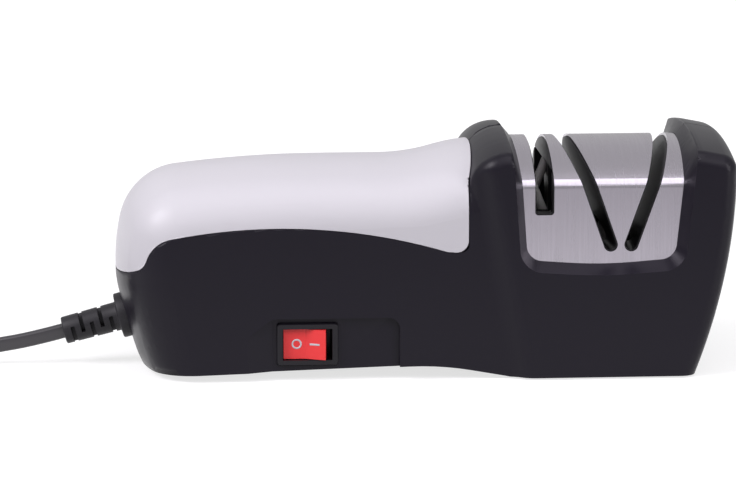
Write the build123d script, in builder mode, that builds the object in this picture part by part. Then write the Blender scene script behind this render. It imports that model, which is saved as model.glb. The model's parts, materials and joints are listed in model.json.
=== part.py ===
"""Electric knife sharpener: a handle that holds the motor, and a head with the sharpening slots."""

import math
import os

from build123d import *

os.makedirs("parts", exist_ok=True)

# The origin is on the table, under the middle of the housing. +X runs to the head, -Y to the user.

# --- housing: handle ---
handle_half_width = 34.0
handle_crown = 70.0  # radius of the back, across
handle_edge = 17.0  # radius between back and side
handle_end_x = -107.2
handle_foot_x = -97.8  # the end leans in towards the table
undercut_z = 34.0
undercut_bulge = 1.4
end_bow = 70.0  # radius of the end where it begins to lean inwards
end_bow_turn = 12.0
end_bow_z = 36.4
end_bend = 22.5  # radius from the end over into the back
end_slope = 7.0
back_z = 71.6
neck_x = -16.0  # here the back begins to rise towards the head
neck_radius = 65.0
neck_slope = 16.0
belly_x, belly_z = 2.0, 4.8  # highest point of the underside
belly_radius = 100.0
heel_x, heel_z = -130.0, 0.9
toe_x = 28.5
origin_x = -2.4  # middle of the housing's length, where the exported pieces have their origin

# --- housing: head ---
shoulder_z = 81.4
shoulder_crown = 150.0
shoulder_edge = 5.0
head_left_x = 11.6
head_left_z = 43.0
head_corner = 13.5
head_step = 3.5  # each side stands this much further out than the handle
head_half_width = handle_half_width + head_step
head_peak_x = 89.5
head_peak_radius = 8.0
head_fall = 11.0
head_fall_length = 6.6
head_right_corner = 6.0
head_barrel = 172.0
head_barrel_turn = 30.0
head_turn = 32.0  # to each side of the middle, enough for the whole width
head_rim_z = 66.0  # only edges above this are rounded, and those of the right end
fold_x = 24.0
fold_lean = 10.0 / 57.0
fold_radius = 9.0

# --- limits of cuts that run right through ---
past_end = 200.0
past_side = 60.0
past_top = 110.0
past_floor = 20.0
over = 1.0  # a cut runs this far past the face that it starts from

# --- walls and seams ---
wall = 2.4
seam_gap = 0.1
groove_half = 0.25
groove_depth = 0.5

# --- edge of the top cover, seen from the side ---
cover_wall = 2.0
cover_gap = 0.15  # between cover and housing
cover_step = (1.5, 0, -3)  # the wall under the cover's edge is thicker by this
cover_end_gap = 0.25
cover_rise_z = 60.0
cover_corner = 4.0
cover_right_z = 43.2
cover_shelf_start = (4.0, 43.9)
cover_crest = (-54.3, 52.6)
cover_shelf_end = (-88.5, 49.4)
cover_bend = 11.0
cover_bend_turn = 57.0
cover_drop = 2.5
cover_dip = 5.0
cover_dip_turn = 42.0
cover_tail = 16.0
cover_start = 20.0  # along the head, where the cover's region begins

# --- opening for the steel sleeve, seen from the side ---
window_left = 31.7
window_right = 81.9
window_left_lean = 0.073
window_right_lean = 0.1
window_z = 40.2
window_bow = 1.9
window_corner = 5.5
window_bow_radius = 150.0
frame_bevel = 3.0  # width of the bevel around the sleeve
frame_rim = 5.5  # width of the thick rim that carries the bevel
bevel_skin = 0.2  # the bevel's cut runs this far past the outer surface
bevel_low = 5.5  # over the window's corners, where the shoulders' facets begin
bevel_high = 6.0  # and where the facet of the lower part ends
bevel_foot = 4.0

# --- steel sleeve ---
sleeve_setback = 6.0  # behind the sides of the head
sleeve_half = head_half_width - sleeve_setback
sleeve_crest = 77.5
sleeve_crown = 50.0
sleeve_bend = 4.0
sheet = 0.8
sleeve_margin = 1.5  # hidden under the rim
sleeve_gap = 0.1
ledge_drop = 3.3  # the sleeve stands on a ledge this far below the corners of its opening
ledge_depth = 2.7
ledge_height = 2.7
ledge_inset = 2.0

# --- slots for the blade ---
slot_x = 37.3
slot_width = 6.5
slot_z = 55.5
slot_corner = 1.2
fine_width = 4.8
fine_z = 42.7
fine_lean = 19.5
fine_splay = 0.06
fine_left_x = 58.0
fine_right_x = 68.8
guide_lip = 0.4  # the guide's slots are narrower by this on each side
guide_wall = 2.0
chute_wall = 1.2
chute_half = 6.8
chute_z = 50.0

# --- ceramic rods ---
rod_radius = 1.6
rod_tilt = 22.0
rod_cross_z = 58.7
rod_low_z = 51.4
rod_high_z = sleeve_crest - 8.0
rod_offset = 2.2  # of each rod from the middle plane
rod_fit = 0.02
rod_chamfer = 0.4
carrier_half_depth = 6.0
carrier_base_z = 52.5
carrier_top_z = rod_high_z - 0.1
carrier_cheek = 2.6
carrier_screw_x = 3.2
carrier_screw_y = 3.8
carrier_screw_z = 52.0
chute_reach = 26.0
chute_top_z = rod_high_z + 0.5

# --- grinding wheel and drive ---
axis_z = 31.0
wheel_x = 63.4
wheel_radius = 17.5
wheel_half = 5.4
wheel_rim_half = 2.0
wheel_cone_radius = 13.0
wheel_room = 1.0
ring_gap = 0.4
hub_radius = 6.0
washer_radius = 8.0
washer_thickness = 1.0
nut_width = 8.0
nut_height = 4.0
spindle_radius = 2.5
spindle_left = 26.0
spindle_right = 88.0
shaft_fit = 0.02
bearing_left = 46.0
bearing_right = 80.0
bearing_radius = 8.0
bearing_width = 5.0
race_radius = 4.2
race_gap = 0.08
bracket_half = 15.0
bracket_thickness = 7.0
bracket_foot_half = 22.0
bracket_foot_z = 12.0
bracket_foot_thickness = 3.0
bracket_screw_y = 18.5
bracket_arch = 12.0
bracket_foot_depth = 12.0
bracket_screw_length = 10.0
bracket_shoulder = 1.5  # the hole behind the bearing is wider than its inner race by this
post_radius = 4.0

# --- motor ---
motor_left = -47.0
motor_right = 10.0
motor_radius = 18.0
can_wall = 1.6
magnet_thickness = 3.6
magnet_left = -38.0
magnet_right = 2.0
core_radius = 12.0
core_left = -34.0
core_right = -2.0
winding_radius = 10.5
winding_length = 4.0
commutator_radius = 4.0
commutator_left = -43.0
commutator_right = -38.2
commutator_slot = 0.5
commutator_bars = 3
brush_width = 3.2
bush_flange = 1.2
motor_shaft_radius = 2.0
motor_shaft_left = -52.0
motor_shaft_right = 24.0
fan_radius = 14.0
fan_left = 2.6
fan_width = 4.0
fan_blades = 8
fan_blade = 1.0
bell_thickness = 2.5
coupling_radius = 7.0
coupling_left = 14.0
coupling_right = 36.0
coupling_edge = 1.0
web_thickness = 2.4
web_x = (-25.0, 5.0)
web_z = 46.0
seat_gap = 0.1
running_fit = 0.05
motor_bush_radius = 4.0
magnet_split = 5.0
core_slot_depth = 10.0
core_slot_width = 2.0
winding_round = 1.5
brush_gap = 0.1
fan_hub_radius = 4.0

# --- switch ---
pocket_left = -63.3
pocket_ramp = -55.0
pocket_right = -11.8
pocket_z = 21.5
pocket_depth = 2.0
pocket_ramp_z = 15.0
pocket_corner = 4.0
switch_x = -43.1
switch_z = 12.5
bezel_width = 21.0
bezel_height = 15.0
bezel_thickness = 1.6
switch_width = 18.8
switch_height = 12.6
switch_depth = 14.0
rocker_width = 16.8
rocker_room = 1.2
rocker_height = 10.8
rocker_pivot = 3.0  # depth of the pivot behind the bezel's face
rocker_swing = 26.0
rocker_fit = 0.3
rocker_dip = 0.2  # from the bezel's plane to the middle of the rocker's face
rocker_tip = 1.6
rocker_flare = 0.8
rocker_back = 2.5
rocker_pin_radius = 1.0
terminal_x = 5.0
terminal_half_width = 2.4
terminal_half = 0.4
terminal_length = 6.0
switch_floor = 2.0
bezel_corner = 1.2
bezel_slope = 20.0
rocker_pin_depth = 0.6

# --- strain relief and cord ---
relief_root = (-103.6, 17.2)  # where its axis meets the end of the housing
relief_dip = 14.6
relief_disc_radius = 7.6
relief_disc = 2.6
relief_length = 22.5
boot_radius = 5.0
boot_tip_radius = 4.45
boot_slots = 5
boot_slot = 1.4
boot_pitch = 3.4
boot_slot_shift = 1.6
boot_first = 1.6  # from the disc to the first slot
clamp_screw_x = 6.0
clamp_half_width = 9.0
clamp_split = 0.3
clamp_thickness = 4.6
clamp_block = 24.0
clamp_low = -5.0
lead_radius = 0.9
lead_bend = 2.0
relief_collar = 3.0  # reach of the inner collar behind the wall
collar_start = -wall - relief_collar - over
collar_end = -wall - over + 0.4
lead_spread = 1.2
relief_neck_radius = 5.5
cord_width = 5.2
boot_edge = 0.6
clamp_near = 11.0
clamp_far = 18.0
tail_end = 23.0

# --- coil and plug ---
coil_x = -202.0
coil_y = 31.7
coil_radius = 29.0
coil_width = 13.4
coil_height = 10.8
coil_corner = 2.0
stub_length = 26.0
cord_straight = 12.0
cord_rest_z = 2.7
plug_start = -216.0  # the plug lies across the far side of the coil, its pins towards +X
plug_half_width = 17.5
plug_half_height = 6.85
plug_body = 35.0
plug_sections = (
    # distance from the cord, half width, half height, corner radius
    (0.0, 4.0, 4.0, 3.0),
    (12.0, 7.0, 5.5, 4.0),
    (22.0, plug_half_width, plug_half_height, 5.0),
    (plug_body, plug_half_width, plug_half_height, 5.0),
)
pin_chamfer = 0.8
pin_radius = 2.4
pin_length = 19.0
pin_half_spacing = 9.5

# --- circuit board, feet and fasteners ---
board_x = -75.0
board_z = 34.0
board_length = 30.0
board_half_width = 17.0
board_thickness = 1.6
board_post_inset = 4.0
board_post_radius = 3.0
rectifier_side = 9.0
rectifier_height = 4.0
rectifier_y = -7.5
capacitor_radius = 5.0
capacitor_height = 13.0
capacitor_y = 4.0
capacitor_shift = 6.0
foot_radius = 5.0
foot_depth = 2.0
foot_spots = ((38.0, 24.0), (77.0, 24.0), (-84.0, 18.0))
floor_z = 0.5
screw_radius = 1.5
screw_head_radius = 2.6
screw_head = 2.0
screw_fit = 0.05
screw_room = 0.3  # below the point of a screw
housing_screw_length = 26.0
small_screw_radius = 0.9
small_head_radius = 1.7
small_head = 1.2
boss_radius = 4.0
boss_seat = 14.0
boss_blind = 14.0
boss_spots = (
    (-88.0, 57.0),
    (-55.0, 60.0),
    (-8.0, 60.0),
    (20.5, 58.0),
    (97.0, 62.0),
    (93.0, 42.0),
    (70.0, 6.5),
    (22.0, 12.0),
    (-74.0, 13.0),
)


def edge_depth(inset):
    """Depth of the edge arcs' centres below the crown."""
    reach = handle_half_width - handle_edge
    span = handle_crown - handle_edge
    return handle_crown - math.sqrt(span**2 - reach**2) - inset


def handle_outline(level, end_x, close_x, inset):
    """Level outline of the handle's rounded end, closed by a straight line."""
    half = handle_half_width - inset
    crown = handle_crown - inset
    edge = handle_edge - inset
    depth = edge_depth(inset)
    split = math.degrees(math.asin((half - edge) / (crown - edge)))
    with BuildSketch(Plane.XY.offset(level)) as outline:
        with BuildLine():
            CenterArc((end_x + crown, 0), crown, 180 - split, 2 * split)
            CenterArc((end_x + depth, half - edge), edge, 90, 90 - split)
            CenterArc((end_x + depth, edge - half), edge, 180 + split, 90 - split)
            Polyline((end_x + depth, half), (close_x, half), (close_x, -half), (end_x + depth, -half))
        make_face()
    return outline.sketch


def handle_form(inset):
    """The handle's outer form, or the same form a distance further in."""
    end_x = handle_end_x + inset
    foot_x = handle_foot_x + inset
    bend = end_bend - inset
    top = back_z - inset
    half = handle_half_width - inset
    lower_x = handle_foot_x + edge_depth(0) + 2
    upper_x = handle_end_x + end_bend - 1
    with BuildLine(Plane.XZ) as crest:
        rise = Line((end_x, undercut_z), (end_x, end_bow_z))
        bow = JernArc(rise @ 1, (0, 1), end_bow - inset, -end_bow_turn)
        corner = JernArc(bow @ 1, bow % 1, bend, end_slope + end_bow_turn - 90)
        back_radius = (top - (corner @ 1).Z) / (1 - math.cos(math.radians(end_slope)))
        back = JernArc(corner @ 1, corner % 1, back_radius, -end_slope)
        flat = Line(back @ 1, (neck_x, top))
        neck = JernArc(flat @ 1, (1, 0), neck_radius + inset, neck_slope)
        shelf = JernArc(neck @ 1, neck % 1, neck_radius - inset, -neck_slope)
    core_depth = (end_bend + edge_depth(0)) / 2  # this far below the crest the sides are flat
    crest_points = (flat @ 0, flat @ 1, neck @ 1, shelf @ 1)
    core_points = [(point.X, point.Z + inset - core_depth) for point in crest_points]
    stations = [(undercut_z, end_x), (undercut_z - 1, end_x)]
    for share in (2 / 3, 1 / 3, 0):
        lean = (1 - share) * (foot_x - end_x)
        stations.append((share * undercut_z, end_x + lean - undercut_bulge * 4 * share * (1 - share)))
    with BuildPart() as form:
        add(handle_outline(undercut_z, end_x, end_x + bend - 0.1, inset))
        sweep(path=crest.wire())
        loft([handle_outline(level, x, lower_x, inset) for level, x in stations])
        with BuildSketch(Plane.XZ.offset(-half)):
            with BuildLine():
                Polyline(
                    (lower_x, 0),
                    (lower_x, undercut_z - 2),
                    (upper_x, undercut_z),
                    (upper_x, (corner @ 1).Z + inset - core_depth),
                    *core_points,
                    (fold_x, core_points[-1][1]),
                    (fold_x, 0),
                    close=True,
                )
            make_face()
        extrude(amount=2 * half)
    return form.part


def head_side(inset):
    """Side outline of the head, from the left shoulder round to the barrel-shaped right end."""
    top = shoulder_z - inset
    left = head_left_x + inset
    with BuildSketch(Plane.XZ) as outline:
        with BuildLine():
            rise = Line((left, head_left_z), (left, shoulder_z - head_corner))
            corner = JernArc(rise @ 1, (0, 1), head_corner - inset, -90)
            flat = Line(corner @ 1, (head_peak_x, top))
            peak = JernArc(flat @ 1, (1, 0), head_peak_radius - inset, -head_fall)
            fall = Line(peak @ 1, (peak @ 1) + (peak % 1) * head_fall_length)
            turn = JernArc(fall @ 1, fall % 1, head_right_corner - inset, head_fall - 90)
            end = JernArc(turn @ 1, (0, -1), head_barrel - inset, -head_barrel_turn)
            Polyline(end @ 1, (fold_x, (end @ 1).Y), (fold_x, 0), rise @ 0)
        make_face()
    return outline.sketch


def head_plan(inset):
    """Plan of the head at the table: slim at the left, an S bend out to the full width."""
    slim = handle_half_width - inset
    wide = head_half_width - inset
    turn = math.degrees(math.acos(1 - (wide - slim) / (2 * fold_radius)))
    with BuildSketch(Plane.XY) as outline:
        with BuildLine():
            start = Line((-fold_x, 0), (-fold_x, slim))
            flank = Line(start @ 1, (fold_x, slim))
            out = JernArc(flank @ 1, (1, 0), fold_radius + inset, turn)
            back = JernArc(out @ 1, out % 1, fold_radius - inset, -turn)
            Polyline(back @ 1, (past_end, wide), (past_end, 0), (-fold_x, 0))
        make_face()
        mirror(about=Plane.XZ)
    return outline.sketch


def head_form(inset, rim_radius=0.0):
    """The head's outer form, or the same form a distance further in, with its upper rim rounded."""
    axis = Axis((0, 0, shoulder_z - shoulder_crown), (1, 0, 0))
    turn = head_turn
    plan = extrude(head_plan(inset), amount=past_top, dir=(-fold_lean, 0, 1), mode=Mode.PRIVATE)
    with BuildPart() as form:
        add(head_side(inset).rotate(axis, -turn))
        revolve(axis=axis, revolution_arc=2 * turn)
        add(plan, mode=Mode.INTERSECT)
        block(-past_end, past_end, -past_side, past_side, 0, past_top, mode=Mode.INTERSECT)
        if rim_radius:
            sides = [face for face in form.faces() if abs(face.normal_at().Y) > 0.7]
            flanks = {hash(edge) for face in sides for edge in face.edges()}
            others = {hash(edge) for face in form.faces() if face not in sides for edge in face.edges()}
            rim = form.edges().filter_by(lambda edge: hash(edge) in flanks and hash(edge) in others)
            upper = rim.filter_by(lambda edge: edge.center().Z > head_rim_z or edge.center().X > head_peak_x)
            fillet(upper, rim_radius)
    return form.part


def underside():
    """What is cut away under the handle, so that it arches clear of the table."""
    with BuildPart() as arch:
        with BuildSketch(Plane.XZ.offset(-past_side)):
            with BuildLine():
                heel = (heel_x, heel_z)
                run = FilletPolyline(heel, (belly_x, belly_z), (toe_x, 0), radius=belly_radius)
                Polyline(run @ 1, (toe_x, -past_floor), (heel_x, -past_floor), run @ 0)
            make_face()
        extrude(amount=2 * past_side)
    return arch.part


def cover_region(right, shift):
    """Everything above the cover's edge line, which is a long low arc that ends in an S."""
    with BuildPart() as region:
        with BuildSketch(Plane.XZ.offset(-past_side)):
            with BuildLine():
                corner = FilletPolyline(
                    (right, cover_rise_z), (right, cover_right_z), cover_shelf_start, radius=cover_corner
                )
                shelf = ThreePointArc(corner @ 1, cover_crest, cover_shelf_end)
                bend = JernArc(shelf @ 1, shelf % 1, cover_bend, cover_bend_turn)
                drop = Line(bend @ 1, (bend @ 1) + (bend % 1) * cover_drop)
                dip = JernArc(drop @ 1, drop % 1, cover_dip, -cover_dip_turn)
                tail = Line(dip @ 1, (dip @ 1) + (dip % 1) * cover_tail)
                far = right + cover_start
                Polyline(
                    tail @ 1,
                    (-past_end, past_top),
                    (far, past_top),
                    (far, cover_rise_z),
                    (right, cover_rise_z),
                )
            make_face()
        extrude(amount=2 * past_side)
    return region.part.translate(shift)


def arch(half, crest, crown, edge, foot, plane=Plane.YZ):
    """Cross-section of the head: upright sides, round edges and a crowned top."""
    across = half - edge
    split = math.degrees(math.asin(across / (crown - edge)))
    side_z = crest - crown + math.sqrt((crown - edge) ** 2 - across**2)
    with BuildSketch(plane) as outline:
        with BuildLine():
            CenterArc((0, crest - crown), crown, 90 - split, 2 * split)
            CenterArc((across, side_z), edge, 0, 90 - split)
            CenterArc((-across, side_z), edge, 90 + split, 90 - split)
            Polyline((half, side_z), (half, foot), (-half, foot), (-half, side_z))
        make_face()
    return outline.sketch


def window(grow, top, y=0):
    """Side view of the opening for the sleeve, open at the top, or the same grown all round."""
    left = window_left - grow
    right = window_right + grow
    low = window_z - grow
    upper_left = (left - window_left_lean * (top - window_z), top)
    upper_right = (right + window_right_lean * (top - window_z), top)
    middle = ((left + right) / 2, low - window_bow)
    radii = [window_corner + grow, window_bow_radius + grow, window_corner + grow]
    with BuildSketch(Plane.XZ.offset(-y)) as outline:
        with BuildLine():
            FilletPolyline(upper_left, (left, low), middle, (right, low), upper_right, radius=radii)
            Line(upper_left, upper_right)
        make_face()
    return outline.sketch


def through(sketch, reach=2 * past_side):
    """Extrude a side view through the whole width of the object."""
    return extrude(sketch, amount=reach / 2, both=True, mode=Mode.PRIVATE)


def sleeve_form(inset):
    """The sleeve's bent form along the whole head, or the same form further in."""
    section = arch(sleeve_half - inset, sleeve_crest - inset, sleeve_crown - inset, sleeve_bend - inset, 0)
    return extrude(section, amount=past_end, dir=(1, 0, 0), mode=Mode.PRIVATE)


def straight_slot(slim):
    """The upright slot, open at the top; slim narrows it on each side."""
    with BuildSketch(Plane.XZ) as outline:
        with Locations((slot_x, slot_z + slim)):
            RectangleRounded(
                slot_width - 2 * slim, past_top, slot_corner, align=(Align.CENTER, Align.MIN)
            )
    return through(outline.sketch)


def fine_slot(middle_x, side, slim):
    """One of the two slots that lean away from each other; side is -1 at the left, 1 at the right."""
    length = past_top / 2
    half = fine_width / 2 - slim
    reach = past_side
    lean = side * fine_lean
    foot_x = middle_x - side * fine_splay * reach
    centre = (
        foot_x + math.sin(math.radians(lean)) * length / 2,
        fine_z + fine_width / 2 + math.cos(math.radians(lean)) * length / 2,
    )
    with BuildSketch(Plane.XZ.offset(reach)) as outline:
        with Locations(centre):
            SlotCenterToCenter(length, 2 * half, rotation=90 - lean)
    run = Vector(side * fine_splay, 1, 0)
    return extrude(outline.sketch, amount=2 * reach * run.length, dir=run, mode=Mode.PRIVATE)


def slots(slim):
    """All three slots."""
    return [
        straight_slot(slim),
        fine_slot(fine_left_x, -1, slim),
        fine_slot(fine_right_x, 1, slim),
    ]


def bar(left, right, radius, mode=Mode.ADD):
    """Round bar on the drive's axis."""
    with Locations((left, 0, axis_z)):
        Cylinder(
            radius,
            right - left,
            rotation=(0, 90, 0),
            align=(Align.CENTER, Align.CENTER, Align.MIN),
            mode=mode,
        )


def post(x, y, low, high, radius, mode=Mode.ADD):
    """Upright round post."""
    with Locations((x, y, low)):
        Cylinder(radius, high - low, align=(Align.CENTER, Align.CENTER, Align.MIN), mode=mode)


def cross_bar(x, z, near, far, radius, mode=Mode.ADD):
    """Round bar across the object, from y = near to y = far."""
    with Locations((x, near, z)):
        Cylinder(
            radius,
            far - near,
            rotation=(-90, 0, 0),
            align=(Align.CENTER, Align.CENTER, Align.MIN),
            mode=mode,
        )


def block(left, right, near, far, low, high, mode=Mode.ADD):
    """Box between two corners."""
    with Locations(((left + right) / 2, (near + far) / 2, (low + high) / 2)):
        Box(right - left, far - near, high - low, mode=mode)


relief_plane = Plane(
    origin=(relief_root[0], 0, relief_root[1]),
    x_dir=(0, -1, 0),
    z_dir=(-math.cos(math.radians(relief_dip)), 0, -math.sin(math.radians(relief_dip))),
)


def relief_bar(start, end, radius, mode=Mode.ADD, tip=None):
    """Round bar or cone on the strain relief's axis; distances count outwards."""
    with Locations(relief_plane * Pos(0, 0, start)):
        if tip is None:
            Cylinder(
                radius, end - start, align=(Align.CENTER, Align.CENTER, Align.MIN), mode=mode
            )
        else:
            Cone(radius, tip, end - start, align=(Align.CENTER, Align.CENTER, Align.MIN), mode=mode)


def clamp_bar(side, low, high, radius, mode=Mode.ADD):
    """Round bar across the strain relief's axis, through the cord clamp beside the cord."""
    middle = -(clamp_near + clamp_far) / 2
    with Locations(relief_plane * Location((side * clamp_screw_x, (low + high) / 2, middle), (90, 0, 0))):
        Cylinder(radius, high - low, mode=mode)


def pocket(grow):
    """Flat pocket for the switch in the near side, with a ramp at the left."""
    face_y = -handle_half_width + pocket_depth + grow
    with BuildPart() as recess:
        with BuildSketch(Plane.XY.offset(-past_floor)):
            with BuildLine():
                Polyline(
                    (pocket_left - grow, -handle_half_width - over),
                    (pocket_left - grow, -handle_half_width),
                    (pocket_ramp - grow, face_y),
                    (pocket_right + grow, face_y),
                    (pocket_right + grow, -handle_half_width - over),
                    close=True,
                )
            make_face()
        extrude(amount=past_floor + pocket_z + grow)
        with BuildSketch(Plane.XZ.offset(past_side)):
            with BuildLine():
                FilletPolyline(
                    (pocket_left - grow, -past_floor),
                    (pocket_left - grow, pocket_ramp_z),
                    (pocket_ramp, pocket_z + grow),
                    (pocket_right + grow, pocket_z + grow),
                    (pocket_right + grow, -past_floor),
                    radius=pocket_corner,
                )
                Line((pocket_left - grow, -past_floor), (pocket_right + grow, -past_floor))
            make_face()
        extrude(amount=-past_side, mode=Mode.INTERSECT)
    return recess.part


# ---------------------------------------------------------------- housing
outer = handle_form(0) + head_form(0, shoulder_edge)
inner_wall = cover_wall + cover_gap + wall
raised_floor = underside().translate((0, 0, wall))
low_cavity = handle_form(wall) - cover_region(head_left_x + cover_start, cover_step)
high_cavity = handle_form(inner_wall)
head_cavity = head_form(wall)
rim_zone = through(window(frame_rim, past_top)) - sleeve_form(-sleeve_gap)
seat_region = cover_region(head_left_x + 2 * cover_end_gap, (0.1, 0, -cover_gap))
cover_seat = handle_form(0) - handle_form(cover_wall + cover_gap)
cover_seat = (cover_seat & seat_region) - head_form(0)
seam_groove = outer - handle_form(groove_depth) - head_form(groove_depth)
seam_groove = seam_groove & Box(2 * past_end, 2 * groove_half, 2 * past_end, mode=Mode.PRIVATE)

with BuildPart() as cavity:
    add(low_cavity)
    add(high_cavity)
    add(head_cavity)
    add(raised_floor, mode=Mode.SUBTRACT)
    block(-past_end, past_end, -past_side, past_side, -over, floor_z + wall, mode=Mode.SUBTRACT)
    add(rim_zone, mode=Mode.SUBTRACT)
    for near, far in ((-past_side, ledge_depth - sleeve_half), (sleeve_half - ledge_depth, past_side)):
        block(
            window_left + ledge_inset,
            window_right - ledge_inset,
            near,
            far,
            window_z - ledge_drop - ledge_height,
            window_z - ledge_drop,
            mode=Mode.SUBTRACT,
        )
    add(pocket(wall), mode=Mode.SUBTRACT)
    for x, z in boss_spots:
        cross_bar(x, z, -past_side, past_side, boss_radius, mode=Mode.SUBTRACT)
    for x in (bearing_left, bearing_right):
        for side in (-1, 1):
            post(x, side * bracket_screw_y, 0, bracket_foot_z, post_radius, mode=Mode.SUBTRACT)
    for end in (-1, 1):
        for side in (-1, 1):
            post(
                board_x + end * (board_length / 2 - board_post_inset),
                side * (board_half_width - board_post_inset),
                0,
                board_z,
                board_post_radius,
                mode=Mode.SUBTRACT,
            )
    for x in web_x:
        block(x, x + web_thickness, -past_side, past_side, 0, web_z, mode=Mode.SUBTRACT)
    with Locations(relief_plane * Pos(0, -clamp_block / 2 - clamp_split, -(clamp_near + clamp_far) / 2)):
        Box(2 * clamp_half_width, clamp_block, clamp_far - clamp_near, mode=Mode.SUBTRACT)


bevel_left = Plane(
    origin=(window_left, 0, window_z),
    x_dir=(0, -1, 0),
    z_dir=(-1, 0, -window_left_lean),
)
bevel_right = Plane(
    origin=(window_right, 0, window_z),
    x_dir=(0, 1, 0),
    z_dir=(1, 0, -window_right_lean),
)


def bevel_cut(plane):
    """What is cut from a shoulder's inner edge: a facet from the sleeve up to the outer surface."""
    foot = -bevel_foot
    up = sleeve_crest - window_z
    inner = arch(sleeve_half, up, sleeve_crown, sleeve_bend, foot, plane)
    outside = shoulder_z + bevel_skin - window_z
    rim = arch(
        head_half_width + bevel_skin,
        outside,
        shoulder_crown,
        shoulder_edge,
        foot,
        plane.offset(frame_bevel),
    )
    with BuildPart() as cut:
        with Locations(plane * Pos(0, bevel_low, frame_bevel / 2)):
            Box(2 * past_side, past_side, frame_bevel, align=(Align.CENTER, Align.MIN, Align.CENTER))
        add(loft([inner, rim], ruled=True, mode=Mode.PRIVATE), mode=Mode.SUBTRACT)
    return cut.part


def bevel_front(side):
    """The same facet round the lower part of the opening; side is -1 at the front."""
    near = window(0, window_z + bevel_high, side * sleeve_half)
    far = window(frame_bevel, window_z + bevel_high, side * (head_half_width + bevel_skin))
    return loft([near, far], ruled=True, mode=Mode.PRIVATE)


with BuildPart() as shell:
    add(outer)
    add(underside(), mode=Mode.SUBTRACT)
    block(-past_end, past_end, -past_side, past_side, -over, floor_z, mode=Mode.SUBTRACT)
    add(cavity.part, mode=Mode.SUBTRACT)
    add(through(window(0, past_top)), mode=Mode.SUBTRACT)
    for plane in (bevel_left, bevel_right):
        add(bevel_cut(plane), mode=Mode.SUBTRACT)
    for side in (-1, 1):
        add(bevel_front(side), mode=Mode.SUBTRACT)
    add(pocket(0), mode=Mode.SUBTRACT)
    add(cover_seat, mode=Mode.SUBTRACT)
    add(seam_groove, mode=Mode.SUBTRACT)
    for x, z in boss_spots:
        cross_bar(x, z, -boss_blind, past_side, screw_radius, mode=Mode.SUBTRACT)
        cross_bar(x, z, boss_seat, past_side, screw_head_radius + screw_fit, mode=Mode.SUBTRACT)
    for x in web_x:
        bar(x - over, x + web_thickness + over, motor_radius + seat_gap, mode=Mode.SUBTRACT)
    block(
        switch_x - switch_width / 2 - seat_gap,
        switch_x + switch_width / 2 + seat_gap,
        -past_side,
        -handle_half_width + pocket_depth + wall + over,
        switch_z - switch_height / 2 - seat_gap,
        switch_z + switch_height / 2 + seat_gap,
        mode=Mode.SUBTRACT,
    )
    relief_bar(-clamp_near, relief_length, relief_neck_radius + seat_gap, mode=Mode.SUBTRACT)
    relief_bar(0, relief_length, relief_disc_radius + seat_gap, mode=Mode.SUBTRACT)
    relief_bar(collar_start, collar_end, relief_disc_radius + seat_gap, mode=Mode.SUBTRACT)
    relief_bar(-tail_end, -wall, cord_width / 2 + seat_gap, mode=Mode.SUBTRACT)
    for x, y in foot_spots:
        for side in (-1, 1):
            post(x, side * y, -over, foot_depth, foot_radius + seat_gap, mode=Mode.SUBTRACT)
    for x in (bearing_left, bearing_right):
        for side in (-1, 1):
            post(
                x,
                side * bracket_screw_y,
                bracket_foot_z + bracket_foot_thickness - bracket_screw_length - screw_room,
                bracket_foot_z + over,
                screw_radius + screw_fit,
                mode=Mode.SUBTRACT,
            )
    for side in (-1, 1):
        clamp_bar(side, clamp_low - screw_room, 0, screw_radius + screw_fit, mode=Mode.SUBTRACT)

with BuildPart() as front_housing:
    add(shell.part)
    block(-past_end, past_end, -seam_gap / 2, past_side, -past_floor, past_top, mode=Mode.SUBTRACT)
with BuildPart() as rear_housing:
    add(shell.part)
    block(-past_end, past_end, -past_side, seam_gap / 2, -past_floor, past_top, mode=Mode.SUBTRACT)

# ---------------------------------------------------------------- top cover
cover_form = handle_form(0) - handle_form(cover_wall)
cover_form = cover_form & cover_region(head_left_x - cover_end_gap, (0, 0, 0))
with BuildPart() as top_cover:
    add(cover_form)
    add(head_form(-cover_end_gap), mode=Mode.SUBTRACT)

# ---------------------------------------------------------------- steel sleeve and slot guide
sleeve_panel = through(window(sleeve_margin, past_top))
sleeve_shell = sleeve_form(0) - sleeve_form(sheet)
guide_solid = sleeve_form(sheet + sleeve_gap)
guide_room = sleeve_form(sheet + sleeve_gap + guide_wall)

with BuildPart() as steel_sleeve:
    add(sleeve_shell & sleeve_panel)
    for cut in slots(0):
        add(cut, mode=Mode.SUBTRACT)

with BuildPart() as slot_guide:
    for wall_form in slots(-chute_wall):
        add(wall_form)
    block(
        slot_x - chute_half - chute_wall,
        slot_x + chute_half + chute_wall,
        -past_side,
        past_side,
        chute_z - chute_wall,
        past_top,
    )
    add(guide_room, mode=Mode.INTERSECT)
    add((guide_solid - guide_room) & sleeve_panel)
    for cut in slots(guide_lip):
        add(cut, mode=Mode.SUBTRACT)
    block(
        slot_x - chute_half,
        slot_x + chute_half,
        -chute_reach,
        chute_reach,
        chute_z,
        chute_top_z,
        mode=Mode.SUBTRACT,
    )
    bar(
        wheel_x - wheel_half - wheel_room,
        wheel_x + wheel_half + wheel_room,
        wheel_radius + wheel_room,
        mode=Mode.SUBTRACT,
    )

# ---------------------------------------------------------------- ceramic rods


def rod_bar(side, radius, mode=Mode.ADD, extra=0.0):
    """A rod that leans across the upright slot; side is -1 for the front rod."""
    tilt = side * rod_tilt
    middle_z = (rod_low_z + rod_high_z) / 2
    middle_x = slot_x + math.tan(math.radians(tilt)) * (middle_z - rod_cross_z)
    length = (rod_high_z - rod_low_z) / math.cos(math.radians(tilt)) + extra
    with Locations((middle_x, side * rod_offset, middle_z)):
        Cylinder(radius, length, rotation=(0, tilt, 0), mode=mode)


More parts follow.
